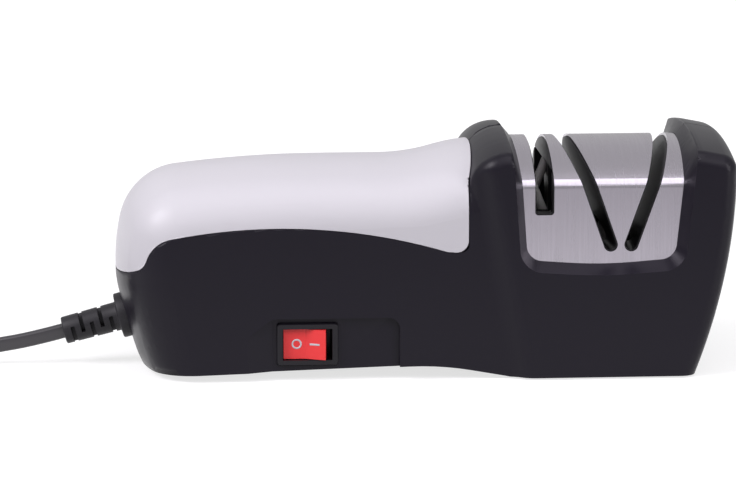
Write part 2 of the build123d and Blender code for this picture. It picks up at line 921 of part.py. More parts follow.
with BuildPart() as ceramic_rod_front:
    rod_bar(-1, rod_radius)
    chamfer(ceramic_rod_front.edges().filter_by(GeomType.CIRCLE), rod_chamfer)
with BuildPart() as ceramic_rod_rear:
    rod_bar(1, rod_radius)
    chamfer(ceramic_rod_rear.edges().filter_by(GeomType.CIRCLE), rod_chamfer)

carrier_half = chute_half - seat_gap
with BuildPart() as rod_carrier:
    block(
        slot_x - carrier_half,
        slot_x + carrier_half,
        -carrier_half_depth,
        carrier_half_depth,
        chute_z,
        carrier_base_z,
    )
    for side in (-1, 1):
        inner = slot_x + side * (carrier_half - carrier_cheek)
        block(
            min(inner, slot_x + side * carrier_half),
            max(inner, slot_x + side * carrier_half),
            -carrier_half_depth,
            carrier_half_depth,
            carrier_base_z,
            carrier_top_z,
        )
    for side in (-1, 1):
        rod_bar(side, rod_radius + rod_fit, mode=Mode.SUBTRACT, extra=2 * rod_fit)
    for side in (-1, 1):
        post(
            slot_x + side * carrier_screw_x,
            side * carrier_screw_y,
            0,
            carrier_screw_z + screw_room,
            small_screw_radius + screw_fit,
            mode=Mode.SUBTRACT,
        )


def screw_up(x, y, seat_z, length, radius, head_radius, head):
    """Round-headed screw that points up, its head below seat_z."""
    post(x, y, seat_z, seat_z + length, radius)
    post(x, y, seat_z - head, seat_z, head_radius)


def screw_down(x, y, seat_z, length, radius, head_radius, head):
    """Round-headed screw that points down, its head above seat_z."""
    post(x, y, seat_z - length, seat_z, radius)
    post(x, y, seat_z, seat_z + head, head_radius)


with BuildPart() as carrier_screws:
    for side in (-1, 1):
        screw_up(
            slot_x + side * carrier_screw_x,
            side * carrier_screw_y,
            chute_z - chute_wall,
            carrier_screw_z - chute_z + chute_wall,
            small_screw_radius,
            small_head_radius,
            small_head,
        )
with BuildPart() as slot_guide_drilled:
    add(slot_guide.part)
    for side in (-1, 1):
        post(
            slot_x + side * carrier_screw_x,
            side * carrier_screw_y,
            chute_z - chute_wall - over,
            chute_z + over,
            small_screw_radius + screw_fit,
            mode=Mode.SUBTRACT,
        )

# ---------------------------------------------------------------- spindle and grinding wheel
with BuildPart() as spindle:
    bar(spindle_left, spindle_right, spindle_radius)
    chamfer(spindle.edges().filter_by(GeomType.CIRCLE), rod_chamfer)

stack_half = wheel_half + washer_thickness
with BuildPart() as wheel_hub:
    bar(wheel_x - wheel_half, wheel_x + wheel_half, hub_radius)
    bar(wheel_x - wheel_half, wheel_x + wheel_half, spindle_radius + shaft_fit, mode=Mode.SUBTRACT)


def wheel_ring(side):
    """One abrasive ring: flat near the hub and coned towards the rim."""
    bore = hub_radius + shaft_fit
    with BuildPart() as ring:
        with BuildSketch(Plane.XZ):
            with BuildLine():
                Polyline(
                    (wheel_x + side * ring_gap / 2, axis_z + bore),
                    (wheel_x + side * wheel_half, axis_z + bore),
                    (wheel_x + side * wheel_half, axis_z + wheel_cone_radius),
                    (wheel_x + side * wheel_rim_half, axis_z + wheel_radius),
                    (wheel_x + side * ring_gap / 2, axis_z + wheel_radius),
                    close=True,
                )
            make_face()
        revolve(axis=Axis((0, 0, axis_z), (1, 0, 0)))
    return ring


wheel_ring_left = wheel_ring(-1)
wheel_ring_right = wheel_ring(1)

with BuildPart() as wheel_washers:
    bar(wheel_x - stack_half, wheel_x - wheel_half, washer_radius)
    bar(wheel_x + wheel_half, wheel_x + stack_half, washer_radius)
    bar(wheel_x - stack_half, wheel_x + stack_half, spindle_radius + shaft_fit, mode=Mode.SUBTRACT)

with BuildPart() as wheel_nuts:
    for start in (wheel_x - stack_half - nut_height, wheel_x + stack_half):
        with BuildSketch(Plane.YZ.offset(start)):
            with Locations((0, axis_z)):
                RegularPolygon(nut_width / 2, 6, major_radius=False)
                Circle(spindle_radius + shaft_fit, mode=Mode.SUBTRACT)
        extrude(amount=nut_height)

# ---------------------------------------------------------------- bearings and their brackets


def bearing_rings(inner, outer_radius):
    """A ring in each of the two bearings."""
    with BuildPart() as rings:
        for x in (bearing_left, bearing_right):
            bar(x - bearing_width / 2, x + bearing_width / 2, outer_radius)
            bar(x - bearing_width / 2, x + bearing_width / 2, inner, mode=Mode.SUBTRACT)
    return rings


bearing_inner = bearing_rings(spindle_radius + shaft_fit, race_radius)
bearing_outer = bearing_rings(race_radius + race_gap, bearing_radius)


def bracket(x):
    """Bearing bracket: an arched plate on a foot with two screw holes."""
    half = bracket_thickness / 2
    with BuildPart() as plate:
        with BuildSketch(Plane.YZ.offset(x - half)):
            with BuildLine():
                Polyline(
                    (-bracket_arch, axis_z),
                    (-bracket_half, bracket_foot_z),
                    (bracket_half, bracket_foot_z),
                    (bracket_arch, axis_z),
                )
                CenterArc((0, axis_z), bracket_arch, 0, 180)
            make_face()
        extrude(amount=bracket_thickness)
        block(
            x - bracket_foot_depth / 2,
            x + bracket_foot_depth / 2,
            -bracket_foot_half,
            bracket_foot_half,
            bracket_foot_z,
            bracket_foot_z + bracket_foot_thickness,
        )
        bar(x - half, x + half, race_radius + bracket_shoulder, mode=Mode.SUBTRACT)
        bar(x - bearing_width / 2, x + half, bearing_radius + shaft_fit, mode=Mode.SUBTRACT)
        for side in (-1, 1):
            post(
                x, side * bracket_screw_y, 0, axis_z, screw_radius + screw_fit, mode=Mode.SUBTRACT
            )
    return plate


bearing_bracket_left = bracket(bearing_left)
bearing_bracket_right = bracket(bearing_right)

with BuildPart() as bracket_screws:
    for x in (bearing_left, bearing_right):
        for side in (-1, 1):
            screw_down(
                x,
                side * bracket_screw_y,
                bracket_foot_z + bracket_foot_thickness,
                bracket_screw_length,
                screw_radius,
                screw_head_radius,
                screw_head,
            )

# ---------------------------------------------------------------- motor
with BuildPart() as motor_can:
    bar(motor_left, motor_right, motor_radius)
    bar(motor_left - over, motor_right - can_wall, motor_radius - can_wall, mode=Mode.SUBTRACT)
    bar(motor_right - can_wall - over, motor_right + over, motor_bush_radius, mode=Mode.SUBTRACT)

with BuildPart() as motor_bushes:
    bar(motor_right - can_wall - bush_flange, motor_right - can_wall, motor_bush_radius + 2)
    bar(motor_right - can_wall - bush_flange, motor_right + 2, motor_bush_radius - shaft_fit)
    bar(motor_left + bell_thickness, motor_left + bell_thickness + bush_flange, motor_bush_radius + 2)
    bar(motor_left - 2, motor_left + bell_thickness + bush_flange, motor_bush_radius - shaft_fit)
    bar(motor_left - 3 * over, motor_right + 3 * over, motor_shaft_radius + running_fit, mode=Mode.SUBTRACT)

with BuildPart() as motor_end_bell:
    bar(motor_left, motor_left + bell_thickness, motor_radius - can_wall - seat_gap)
    bar(motor_left - over, motor_left + bell_thickness + over, motor_bush_radius, mode=Mode.SUBTRACT)

magnet_outer = motor_radius - can_wall - shaft_fit
with BuildPart() as motor_magnets:
    bar(magnet_left, magnet_right, magnet_outer)
    bar(magnet_left, magnet_right, magnet_outer - magnet_thickness, mode=Mode.SUBTRACT)
    block(
        magnet_left,
        magnet_right,
        -past_side,
        past_side,
        axis_z - magnet_split,
        axis_z + magnet_split,
        mode=Mode.SUBTRACT,
    )

with BuildPart() as motor_shaft:
    bar(motor_shaft_left, motor_shaft_right, motor_shaft_radius)

with BuildPart() as armature_core:
    bar(core_left, core_right, core_radius)
    bar(core_left, core_right, motor_shaft_radius + shaft_fit, mode=Mode.SUBTRACT)
    for turn in range(3):
        angle = math.radians(30 + 120 * turn)
        y = core_radius * math.cos(angle)
        z = core_radius * math.sin(angle)
        with Locations(Location((core_left, y, axis_z + z), (math.degrees(angle), 0, 0))):
            Box(past_end, core_slot_depth, core_slot_width, mode=Mode.SUBTRACT)

with BuildPart() as armature_windings:
    bar(core_left - winding_length, core_left, winding_radius)
    bar(core_right, core_right + winding_length, winding_radius)
    winding_ends = (core_left - winding_length - over, core_right + winding_length + over)
    bar(*winding_ends, motor_shaft_radius + shaft_fit, mode=Mode.SUBTRACT)
    fillet(armature_windings.edges().filter_by(GeomType.CIRCLE).sort_by(SortBy.RADIUS)[-4:], winding_round)

with BuildPart() as commutator:
    bar(commutator_left, commutator_right, commutator_radius)
    bar(commutator_left, commutator_right, motor_shaft_radius + shaft_fit, mode=Mode.SUBTRACT)
    for turn in range(3):
        with Locations((commutator_left, 0, axis_z)):
            with Locations(Rotation(120 * turn, 0, 0) * Pos(0, 0, commutator_radius)):
                Box(past_end, commutator_slot, 2 * commutator_slot, mode=Mode.SUBTRACT)

with BuildPart() as motor_brushes:
    for side in (-1, 1):
        near = side * (commutator_radius + brush_gap)
        far = side * (motor_radius - can_wall - seat_gap - 0.5)
        block(
            (commutator_left + commutator_right) / 2 - brush_width / 2,
            (commutator_left + commutator_right) / 2 + brush_width / 2,
            min(near, far),
            max(near, far),
            axis_z - brush_width / 2,
            axis_z + brush_width / 2,
        )

with BuildPart() as motor_fan:
    bar(fan_left, fan_left + fan_width, fan_hub_radius)
    for turn in range(fan_blades):
        with Locations((fan_left + fan_width / 2, 0, axis_z)):
            middle = (fan_radius + fan_hub_radius - fan_blade) / 2
            with Locations(Rotation(360 / fan_blades * turn, 0, 0) * Pos(0, 0, middle)):
                Box(fan_width, fan_blade, fan_radius - fan_hub_radius + fan_blade)
    bar(fan_left - over, fan_left + fan_width + over, motor_shaft_radius + shaft_fit, mode=Mode.SUBTRACT)

with BuildPart() as shaft_coupling:
    bar(coupling_left, coupling_right, coupling_radius)
    middle = (motor_shaft_right + spindle_left) / 2
    bar(coupling_left, middle, motor_shaft_radius + shaft_fit, mode=Mode.SUBTRACT)
    bar(middle, coupling_right, spindle_radius + shaft_fit, mode=Mode.SUBTRACT)
    chamfer(shaft_coupling.edges().filter_by(GeomType.CIRCLE).sort_by(SortBy.RADIUS)[-2:], coupling_edge)

# ---------------------------------------------------------------- switch
face_y = -handle_half_width + pocket_depth
with BuildPart() as switch_body:
    with BuildSketch(Plane.XZ.offset(-face_y)):
        with Locations((switch_x, switch_z)):
            RectangleRounded(bezel_width, bezel_height, bezel_corner)
    extrude(amount=bezel_thickness, taper=bezel_slope)
    block(
        switch_x - switch_width / 2,
        switch_x + switch_width / 2,
        face_y,
        face_y + switch_depth,
        switch_z - switch_height / 2,
        switch_z + switch_height / 2,
    )
    block(
        switch_x - rocker_width / 2,
        switch_x + rocker_width / 2,
        -past_side,
        face_y + switch_depth - switch_floor,
        switch_z - rocker_height / 2,
        switch_z + rocker_height / 2,
        mode=Mode.SUBTRACT,
    )
    post(
        switch_x,
        face_y + rocker_pivot,
        switch_z - rocker_height / 2 - rocker_pin_depth,
        switch_z + rocker_height / 2 + rocker_pin_depth,
        rocker_pin_radius + running_fit,
        mode=Mode.SUBTRACT,
    )

pivot_y = face_y + rocker_pivot
half_swing = rocker_swing / 2
with BuildPart() as rocker_blank:
    with BuildSketch(Plane.XY.offset(switch_z - rocker_height / 2 + rocker_fit)):
        with BuildLine():
            reach = rocker_width / 2 - rocker_room
            Polyline(
                (0, -rocker_pivot - rocker_dip),
                (reach, -rocker_pivot - rocker_tip),
                (reach - rocker_flare, rocker_back),
                (-reach + rocker_flare, rocker_back),
                (-reach, -rocker_pivot - rocker_tip),
                close=True,
            )
        make_face()
    extrude(amount=rocker_height - 2 * rocker_fit)
    post(
        0,
        0,
        switch_z - rocker_height / 2 - rocker_pin_depth + rocker_fit / 2,
        switch_z + rocker_height / 2 + rocker_pin_depth - rocker_fit / 2,
        rocker_pin_radius,
    )

with BuildPart() as switch_rocker:
    with Locations(Location((switch_x, pivot_y, 0), (0, 0, -half_swing))):
        add(rocker_blank.part)

with BuildPart() as switch_terminals:
    for x in (switch_x - terminal_x, switch_x + terminal_x):
        block(
            x - terminal_half_width,
            x + terminal_half_width,
            face_y + switch_depth,
            face_y + switch_depth + terminal_length,
            switch_z - terminal_half,
            switch_z + terminal_half,
        )

# ---------------------------------------------------------------- circuit board
board_left = board_x - board_length / 2
with BuildPart() as circuit_board:
    block(
        board_left,
        board_left + board_length,
        -board_half_width,
        board_half_width,
        board_z,
        board_z + board_thickness,
    )
board_top = board_z + board_thickness
with BuildPart() as rectifier:
    block(
        board_left + board_post_inset,
        board_left + board_post_inset + rectifier_side,
        rectifier_y - rectifier_side / 2,
        rectifier_y + rectifier_side / 2,
        board_top,
        board_top + rectifier_height,
    )
with BuildPart() as capacitor:
    post(board_x + capacitor_shift, capacitor_y, board_top, board_top + capacitor_height, capacitor_radius)
    chamfer(capacitor.edges().filter_by(GeomType.CIRCLE).sort_by(Axis.Z)[-1], rod_chamfer)

# ---------------------------------------------------------------- strain relief
with BuildPart() as strain_relief:
    relief_bar(0, relief_disc, relief_disc_radius)
    chamfer(strain_relief.edges().filter_by(GeomType.CIRCLE).sort_by(Axis.X)[0], boot_edge)
    relief_bar(relief_disc, relief_length, boot_radius, tip=boot_tip_radius)
    for index in range(boot_slots):
        start = relief_disc + boot_first + index * boot_pitch
        side = 1 if index % 2 else -1
        with Locations(relief_plane * Pos(0, side * boot_slot_shift, start + boot_slot / 2)):
            Box(4 * boot_radius, 2 * boot_radius, boot_slot, mode=Mode.SUBTRACT)
    relief_bar(-wall - relief_collar, 0, relief_neck_radius)
    relief_bar(-wall - relief_collar, -wall - over, relief_disc_radius)

with BuildPart() as cord_tail:
    relief_bar(-tail_end, -wall - relief_collar, cord_width / 2)

clamp_top = clamp_split + clamp_thickness
with BuildPart() as cord_clamp:
    with Locations(relief_plane * Pos(0, (clamp_split + clamp_top) / 2, -(clamp_near + clamp_far) / 2)):
        Box(2 * clamp_half_width, clamp_thickness, clamp_far - clamp_near)
    relief_bar(-clamp_far - 1, -clamp_near + 1, cord_width / 2 + shaft_fit, mode=Mode.SUBTRACT)
    for side in (-1, 1):
        clamp_bar(side, 0, clamp_top + 1, screw_radius + screw_fit, mode=Mode.SUBTRACT)
with BuildPart() as clamp_screws:
    for side in (-1, 1):
        clamp_bar(side, clamp_low, clamp_top, screw_radius)
        clamp_bar(side, clamp_top, clamp_top + screw_head, screw_head_radius)

# ---------------------------------------------------------------- cord, coil and plug
relief_axis = relief_plane.z_dir
boot_end = relief_plane.origin + relief_axis * relief_length
cord_points = [
    boot_end,
    boot_end + relief_axis * cord_straight,
    Vector(-150.5, 1.2, 6.2),
    Vector(-164.0, coil_y - coil_radius, cord_rest_z),
    Vector(coil_x + stub_length, coil_y - coil_radius, cord_rest_z),
]
cord_radii = []
for before, point, after in zip(cord_points, cord_points[1:], cord_points[2:]):
    turn = (point - before).get_angle(after - point)
    shorter = min((point - before).length, (after - point).length)
    cord_radii.append(0.45 * shorter / math.tan(math.radians(turn / 2)))
print("cord radii", [round(radius, 1) for radius in cord_radii])
with BuildPart() as power_cord:
    with BuildLine() as cord_path:
        FilletPolyline(*cord_points, radius=cord_radii)
    with BuildSketch(Plane(origin=cord_points[0], z_dir=relief_axis)):
        Circle(cord_width / 2)
    sweep(path=cord_path.wire())
cord_length = cord_path.wire().length
print("cord volume ratio", power_cord.part.volume / (math.pi * cord_width**2 / 4 * cord_length))

with BuildPart() as cord_coil:
    with BuildSketch(Plane.XZ.offset(-coil_y)):
        with Locations((coil_x + coil_radius, coil_height / 2)):
            RectangleRounded(coil_width, coil_height, coil_corner)
    revolve(axis=Axis((coil_x, coil_y, 0), (0, 0, 1)))
    with Locations(Location((coil_x, coil_y - coil_radius, cord_rest_z), (0, 90, 0))):
        Cylinder(cord_width / 2, stub_length, align=(Align.CENTER, Align.CENTER, Align.MIN))

plug_y = coil_y + coil_radius
plug_z = coil_height + plug_half_height
with BuildPart() as mains_plug:
    for place, half_y, half_z, corner in plug_sections:
        with BuildSketch(Plane.YZ.offset(plug_start + place)):
            with Locations((plug_y, plug_z)):
                RectangleRounded(2 * half_y, 2 * half_z, corner)
    loft(ruled=True)
with BuildPart() as plug_pins:
    for side in (-1, 1):
        foot = (plug_start + plug_body, plug_y + side * pin_half_spacing, plug_z)
        with Locations(Location(foot, (0, 90, 0))):
            Cylinder(pin_radius, pin_length, align=(Align.CENTER, Align.CENTER, Align.MIN))
    chamfer(plug_pins.edges().filter_by(GeomType.CIRCLE).group_by(Axis.X)[-1], pin_chamfer)

# ---------------------------------------------------------------- leads
with BuildPart() as mains_leads:
    for side in (-1, 1):
        start = relief_plane.origin - relief_axis * tail_end + Vector(0, side * lead_spread, 0)
        finish = Vector(
            switch_x + side * terminal_x, face_y + switch_depth + terminal_length + over, switch_z
        )
        with BuildLine() as lead:
            FilletPolyline(
                start,
                start - relief_axis * 4,
                Vector(board_left + board_length + 2, -7 + side * 2, 14),
                finish,
                radius=lead_bend,
            )
        with BuildSketch(Plane(origin=start, z_dir=relief_axis)):
            Circle(lead_radius)
        sweep(path=lead.wire())
with BuildPart() as motor_leads:
    for side in (-1, 1):
        start = Vector(board_left + board_length - 4, side * 10, board_top)
        with BuildLine() as lead:
            FilletPolyline(
                start,
                start + Vector(0, 0, 8),
                Vector(motor_left - 3, side * 10, board_top + 8),
                Vector(motor_left - 3, side * 10, axis_z + 3),
                Vector(motor_left, side * 10, axis_z + 3),
                radius=lead_bend,
            )
        with BuildSketch(Plane.XY.offset(board_top)):
            with Locations((board_left + board_length - 4, side * 10)):
                Circle(lead_radius)
        sweep(path=lead.wire())

# ---------------------------------------------------------------- feet and housing screws
with BuildPart() as rubber_feet:
    for x, y in foot_spots:
        for side in (-1, 1):
            post(x, side * y, 0, foot_depth - seat_gap, foot_radius)

with BuildPart() as housing_screws:
    for x, z in boss_spots:
        cross_bar(x, z, boss_seat - housing_screw_length, boss_seat, screw_radius - screw_fit)
        cross_bar(x, z, boss_seat, boss_seat + screw_head, screw_head_radius)

pieces = {
    "front_housing": front_housing,
    "rear_housing": rear_housing,
    "top_cover": top_cover,
    "steel_sleeve": steel_sleeve,
    "slot_guide": slot_guide_drilled,
    "ceramic_rod_front": ceramic_rod_front,
    "ceramic_rod_rear": ceramic_rod_rear,
    "rod_carrier": rod_carrier,
    "carrier_screws": carrier_screws,
    "spindle": spindle,
    "wheel_hub": wheel_hub,
    "wheel_ring_left": wheel_ring_left,
    "wheel_ring_right": wheel_ring_right,
    "wheel_washers": wheel_washers,
    "wheel_nuts": wheel_nuts,
    "bearing_inner": bearing_inner,
    "bearing_outer": bearing_outer,
    "bearing_bracket_left": bearing_bracket_left,
    "bearing_bracket_right": bearing_bracket_right,
    "bracket_screws": bracket_screws,
    "motor_can": motor_can,
    "motor_bushes": motor_bushes,
    "motor_end_bell": motor_end_bell,
    "motor_magnets": motor_magnets,
    "motor_shaft": motor_shaft,
    "armature_core": armature_core,
    "armature_windings": armature_windings,
    "commutator": commutator,
    "motor_brushes": motor_brushes,
    "motor_fan": motor_fan,
    "shaft_coupling": shaft_coupling,
    "switch_body": switch_body,
    "switch_rocker": switch_rocker,
    "switch_terminals": switch_terminals,
    "circuit_board": circuit_board,
    "rectifier": rectifier,
    "capacitor": capacitor,
    "mains_leads": mains_leads,
    "motor_leads": motor_leads,
    "strain_relief": strain_relief,
    "cord_tail": cord_tail,
    "cord_clamp": cord_clamp,
    "clamp_screws": clamp_screws,
    "power_cord": power_cord,
    "cord_coil": cord_coil,
    "mains_plug": mains_plug,
    "plug_pins": plug_pins,
    "rubber_feet": rubber_feet,
    "housing_screws": housing_screws,
}
for name, piece in pieces.items():
    centred = Pos(-origin_x, 0, 0) * piece.part
    centred.label = name
    export_step(centred, f"parts/{name}.step")
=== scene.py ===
"""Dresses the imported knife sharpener: finishes, soft parts, cord, camera and light."""

import json
import logging
import math
from dataclasses import dataclass
from enum import Enum

import bpy
from mathutils import Matrix, Vector


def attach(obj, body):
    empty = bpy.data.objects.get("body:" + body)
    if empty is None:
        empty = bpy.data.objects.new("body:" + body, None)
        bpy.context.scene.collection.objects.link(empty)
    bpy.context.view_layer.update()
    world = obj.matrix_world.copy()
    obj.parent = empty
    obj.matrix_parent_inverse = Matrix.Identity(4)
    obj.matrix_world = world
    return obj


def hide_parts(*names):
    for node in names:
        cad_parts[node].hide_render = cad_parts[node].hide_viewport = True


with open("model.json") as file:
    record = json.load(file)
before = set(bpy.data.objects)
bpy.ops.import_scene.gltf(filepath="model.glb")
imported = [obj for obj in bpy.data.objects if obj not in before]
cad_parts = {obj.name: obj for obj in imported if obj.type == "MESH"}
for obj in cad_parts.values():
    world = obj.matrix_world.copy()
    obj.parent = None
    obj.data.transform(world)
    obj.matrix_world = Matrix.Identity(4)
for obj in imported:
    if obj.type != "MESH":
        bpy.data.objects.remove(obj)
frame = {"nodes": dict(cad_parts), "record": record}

log = logging.getLogger("sharpener")

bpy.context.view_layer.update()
UP = Vector((0.0, 0.0, 1.0))
WHITE = (1.0, 1.0, 1.0, 1.0)
MERGE_DISTANCE = 2e-6  # metres within which two corners of a CAD mesh are one
FLAT_ANGLE = 0.25  # degrees between faces that count as one flat face
NORMAL_WEIGHT = 100  # how far the larger faces lead the shading at their edges
BEVEL_SEGMENTS = 3


class Finish(Enum):
    """Finishes of the pieces, by the name of their material slot in the record."""

    BLACK_SHELL = "black_plastic"
    PALE_SHELL = "pale_plastic"
    STEEL = "brushed_steel"
    GUIDE = "black_matte"
    PALE_ROD = "pale_ceramic"
    DARK_ROD = "dark_ceramic"
    ZINC = "zinc"
    GROUND_STEEL = "bright_steel"
    TURNED = "hub_aluminium"
    GRIT = "abrasive"
    GREY_PLASTIC = "grey_plastic"
    BRONZE = "bronze"
    FERRITE = "magnet"
    COPPER = "copper"
    CARBON = "carbon"
    SWITCH_BLACK = "black_gloss"
    ROCKER_RED = "red_plastic"
    TINNED = "brass_tin"
    BOARD = "board_green"
    SLEEVING = "capacitor_blue"
    LEAD_RED = "lead_red"
    CORD = "cord_black"
    SOFT_BLACK = "soft_black"
    FOOT = "foot_rubber"


Colour = tuple[float, float, float]
Rgba = tuple[float, float, float, float]
Point = tuple[float, float, float]
Pair = tuple[float, float]
Tree = bpy.types.NodeTree
Node = bpy.types.Node
Socket = bpy.types.NodeSocket
Value = float | Rgba | Socket


def opaque(colour: Colour) -> Rgba:
    """Gives a colour with full cover."""
    return (*colour, 1.0)


def link(tree: Tree, source: Socket, target: Socket) -> None:
    """Joins two sockets of a shader tree."""
    tree.links.new(source, target)


def feed(tree: Tree, value: Value, target: Socket) -> None:
    """Sets an input to a fixed value, or joins it to the socket that is given instead."""
    if isinstance(value, Socket):
        link(tree, value, target)
    else:
        target.default_value = value


def add_math(tree: Tree, operation: str, *values: Value, clamp: bool = False) -> Socket:
    """Adds a math node.

    Args:
        tree: The shader tree.
        operation: What the node works out.
        values: Its inputs in order.
        clamp: Whether the result is held between 0 and 1.

    Returns:
        Socket with the result.
    """
    node = tree.nodes.new("ShaderNodeMath")
    node.operation = operation
    node.use_clamp = clamp
    for value, target in zip(values, node.inputs):
        feed(tree, value, target)
    return node.outputs[0]


def add_range(tree: Tree, value: Socket, taken: Pair, given: Pair) -> Socket:
    """Maps a value from one span to another and holds it at the ends.

    Args:
        tree: The shader tree.
        value: Socket that gives the value.
        taken: Both ends of the value's span.
        given: Both ends of the span that it is mapped to.

    Returns:
        Socket with the mapped value.
    """
    node = tree.nodes.new("ShaderNodeMapRange")
    node.inputs["From Min"].default_value, node.inputs["From Max"].default_value = taken
    node.inputs["To Min"].default_value, node.inputs["To Max"].default_value = given
    link(tree, value, node.inputs["Value"])
    return node.outputs["Result"]


def add_mix(tree: Tree, factor: Socket, first: Value, second: Value) -> Socket:
    """Blends two numbers.

    Args:
        tree: The shader tree.
        factor: Socket that gives 0 for the first number and 1 for the second.
        first: The first number.
        second: The second number.

    Returns:
        Socket with the blend.
    """
    node = tree.nodes.new("ShaderNodeMix")
    link(tree, factor, node.inputs["Factor"])
    feed(tree, first, node.inputs["A"])
    feed(tree, second, node.inputs["B"])
    return node.outputs["Result"]


def add_shade(tree: Tree, colour: Value, level: Socket) -> Socket:
    """Multiplies a colour by a level of grey.

    Args:
        tree: The shader tree.
        colour: The colour.
        level: Socket that gives the level.

    Returns:
        Socket with the shaded colour.
    """
    node = tree.nodes.new("ShaderNodeMix")
    node.data_type = "RGBA"
    node.blend_type = "MULTIPLY"
    node.inputs["Factor"].default_value = 1.0
    feed(tree, colour, node.inputs["A"])
    link(tree, level, node.inputs["B"])
    return node.outputs["Result"]


def add_noise(tree: Tree, place: Socket, scale: Value, detail: float,
              roughness: float = 0.5) -> Socket:
    """Adds a noise pattern.

    Args:
        tree: The shader tree.
        place: Socket that gives the place.
        scale: Size of the pattern's parts, larger for a finer pattern.
        detail: How many finer layers it has.
        roughness: How strong the finer layers are.

    Returns:
        Socket with the pattern, 0 to 1.
    """
    node = tree.nodes.new("ShaderNodeTexNoise")
    node.inputs["Detail"].default_value = detail
    node.inputs["Roughness"].default_value = roughness
    link(tree, place, node.inputs["Vector"])
    feed(tree, scale, node.inputs["Scale"])
    return node.outputs["Fac"]


def add_bump(tree: Tree, height: Socket, shader: Node, strength: float, depth: float) -> None:
    """Feeds a height to the shader's normal.

    Args:
        tree: The material's node tree.
        height: Socket that gives the height.
        shader: Shader that takes the normal.
        strength: Strength of the bump.
        depth: Depth of the relief in metres.
    """
    bump = tree.nodes.new("ShaderNodeBump")
    bump.inputs["Strength"].default_value = strength
    bump.inputs["Distance"].default_value = depth
    link(tree, height, bump.inputs["Height"])
    link(tree, bump.outputs["Normal"], shader.inputs["Normal"])


def new_material(name: str) -> tuple[bpy.types.Material, Node]:
    """Makes a material with a bare Principled shader.

    Args:
        name: Name of the material.

    Returns:
        The material and its shader node.
    """
    material = bpy.data.materials.new(name)
    material.use_nodes = True
    shader = material.node_tree.nodes["Principled BSDF"]
    return material, shader


def new_group(name: str, inputs: dict[str, str], outputs: dict[str, str]) -> Tree:
    """Starts a node group and gives it its sockets.

    Args:
        name: Name of the group.
        inputs: Kind of each input by its name.
        outputs: Kind of each output by its name.

    Returns:
        The group, with no nodes in it yet.
    """
    group = bpy.data.node_groups.new(name, "ShaderNodeTree")
    for way, sockets in (("INPUT", inputs), ("OUTPUT", outputs)):
        for label, kind in sockets.items():
            group.interface.new_socket(label, in_out=way, socket_type=f"NodeSocket{kind}")
    return group


class ShaderGroups:
    """Effects that several finishes share, each built once as a node group."""

    GRAIN_DETAIL = 3.0
    CLOUD_SCALE = 28.0
    CLOUD_DETAIL = 4.0
    NOISE_MIDDLE = 0.5
    COLOUR_SHARE = 0.6  # part of the swing in roughness that the colour shows too
    LINE_DETAIL = 5.0
    LINE_ROUGHNESS = 0.65

    @classmethod
    def moulded_skin(cls) -> Tree:
        """Fine moulding texture: height, and roughness and colour that vary a little.

        Returns:
            The node group.
        """
        name = "moulded_skin"
        if name in bpy.data.node_groups:
            return bpy.data.node_groups[name]
        group = new_group(
            name,
            {"Colour": "Color", "Roughness": "Float", "Grain scale": "Float",
             "Variation": "Float"},
            {"Colour": "Color", "Roughness": "Float", "Height": "Float"})
        given = group.nodes.new("NodeGroupInput").outputs
        result = group.nodes.new("NodeGroupOutput").inputs
        place = group.nodes.new("ShaderNodeTexCoord").outputs["Object"]
        grain = add_noise(group, place, given["Grain scale"], cls.GRAIN_DETAIL)
        cloud = add_noise(group, place, cls.CLOUD_SCALE, cls.CLOUD_DETAIL)
        centred = add_math(group, "SUBTRACT", cloud, cls.NOISE_MIDDLE)
        swing = add_math(group, "MULTIPLY", centred, given["Variation"])
        rough = add_math(group, "ADD", given["Roughness"], swing, clamp=True)
        level = add_math(group, "MULTIPLY_ADD", swing, cls.COLOUR_SHARE, 1.0)
        link(group, add_shade(group, given["Colour"], level), result["Colour"])
        link(group, rough, result["Roughness"])
        link(group, grain, result["Height"])
        return group

    @classmethod
    def brushed_lines(cls) -> Tree:
        """Fine parallel lines of a brushed sheet; Direction stretches the pattern along the lines.

        Returns:
            The node group.
        """
        name = "brushed_lines"
        if name in bpy.data.node_groups:
            return bpy.data.node_groups[name]
        group = new_group(name, {"Direction": "Vector", "Fineness": "Float"}, {"Lines": "Float"})
        given = group.nodes.new("NodeGroupInput").outputs
        result = group.nodes.new("NodeGroupOutput").inputs
        place = group.nodes.new("ShaderNodeTexCoord").outputs["Object"]
        stretch = group.nodes.new("ShaderNodeVectorMath")
        stretch.operation = "MULTIPLY"
        link(group, place, stretch.inputs[0])
        link(group, given["Direction"], stretch.inputs[1])
        lines = add_noise(group, stretch.outputs[0], given["Fineness"], cls.LINE_DETAIL,
                          cls.LINE_ROUGHNESS)
        link(group, lines, result["Lines"])
        return group


@dataclass(frozen=True)
class MouldedPlastic:
    """Injection-moulded plastic or rubber with a fine skin."""

    colour: Colour
    roughness: float
    grain: float = 2600.0
    variation: float = 0.12
    relief: float = 0.12
    specular: float = 0.5
    depth: float = 0.00004

    def build(self, name: str) -> bpy.types.Material:
        """Builds the material.

        Args:
            name: Name of the material.

        Returns:
            The finished material.
        """
        material, shader = new_material(name)
        tree = material.node_tree
        skin = tree.nodes.new("ShaderNodeGroup")
        skin.node_tree = ShaderGroups.moulded_skin()
        skin.inputs["Colour"].default_value = opaque(self.colour)
        skin.inputs["Roughness"].default_value = self.roughness
        skin.inputs["Grain scale"].default_value = self.grain
        skin.inputs["Variation"].default_value = self.variation
        link(tree, skin.outputs["Colour"], shader.inputs["Base Color"])
        link(tree, skin.outputs["Roughness"], shader.inputs["Roughness"])
        add_bump(tree, skin.outputs["Height"], shader, self.relief, self.depth)
        shader.inputs["Specular IOR Level"].default_value = self.specular
        return material


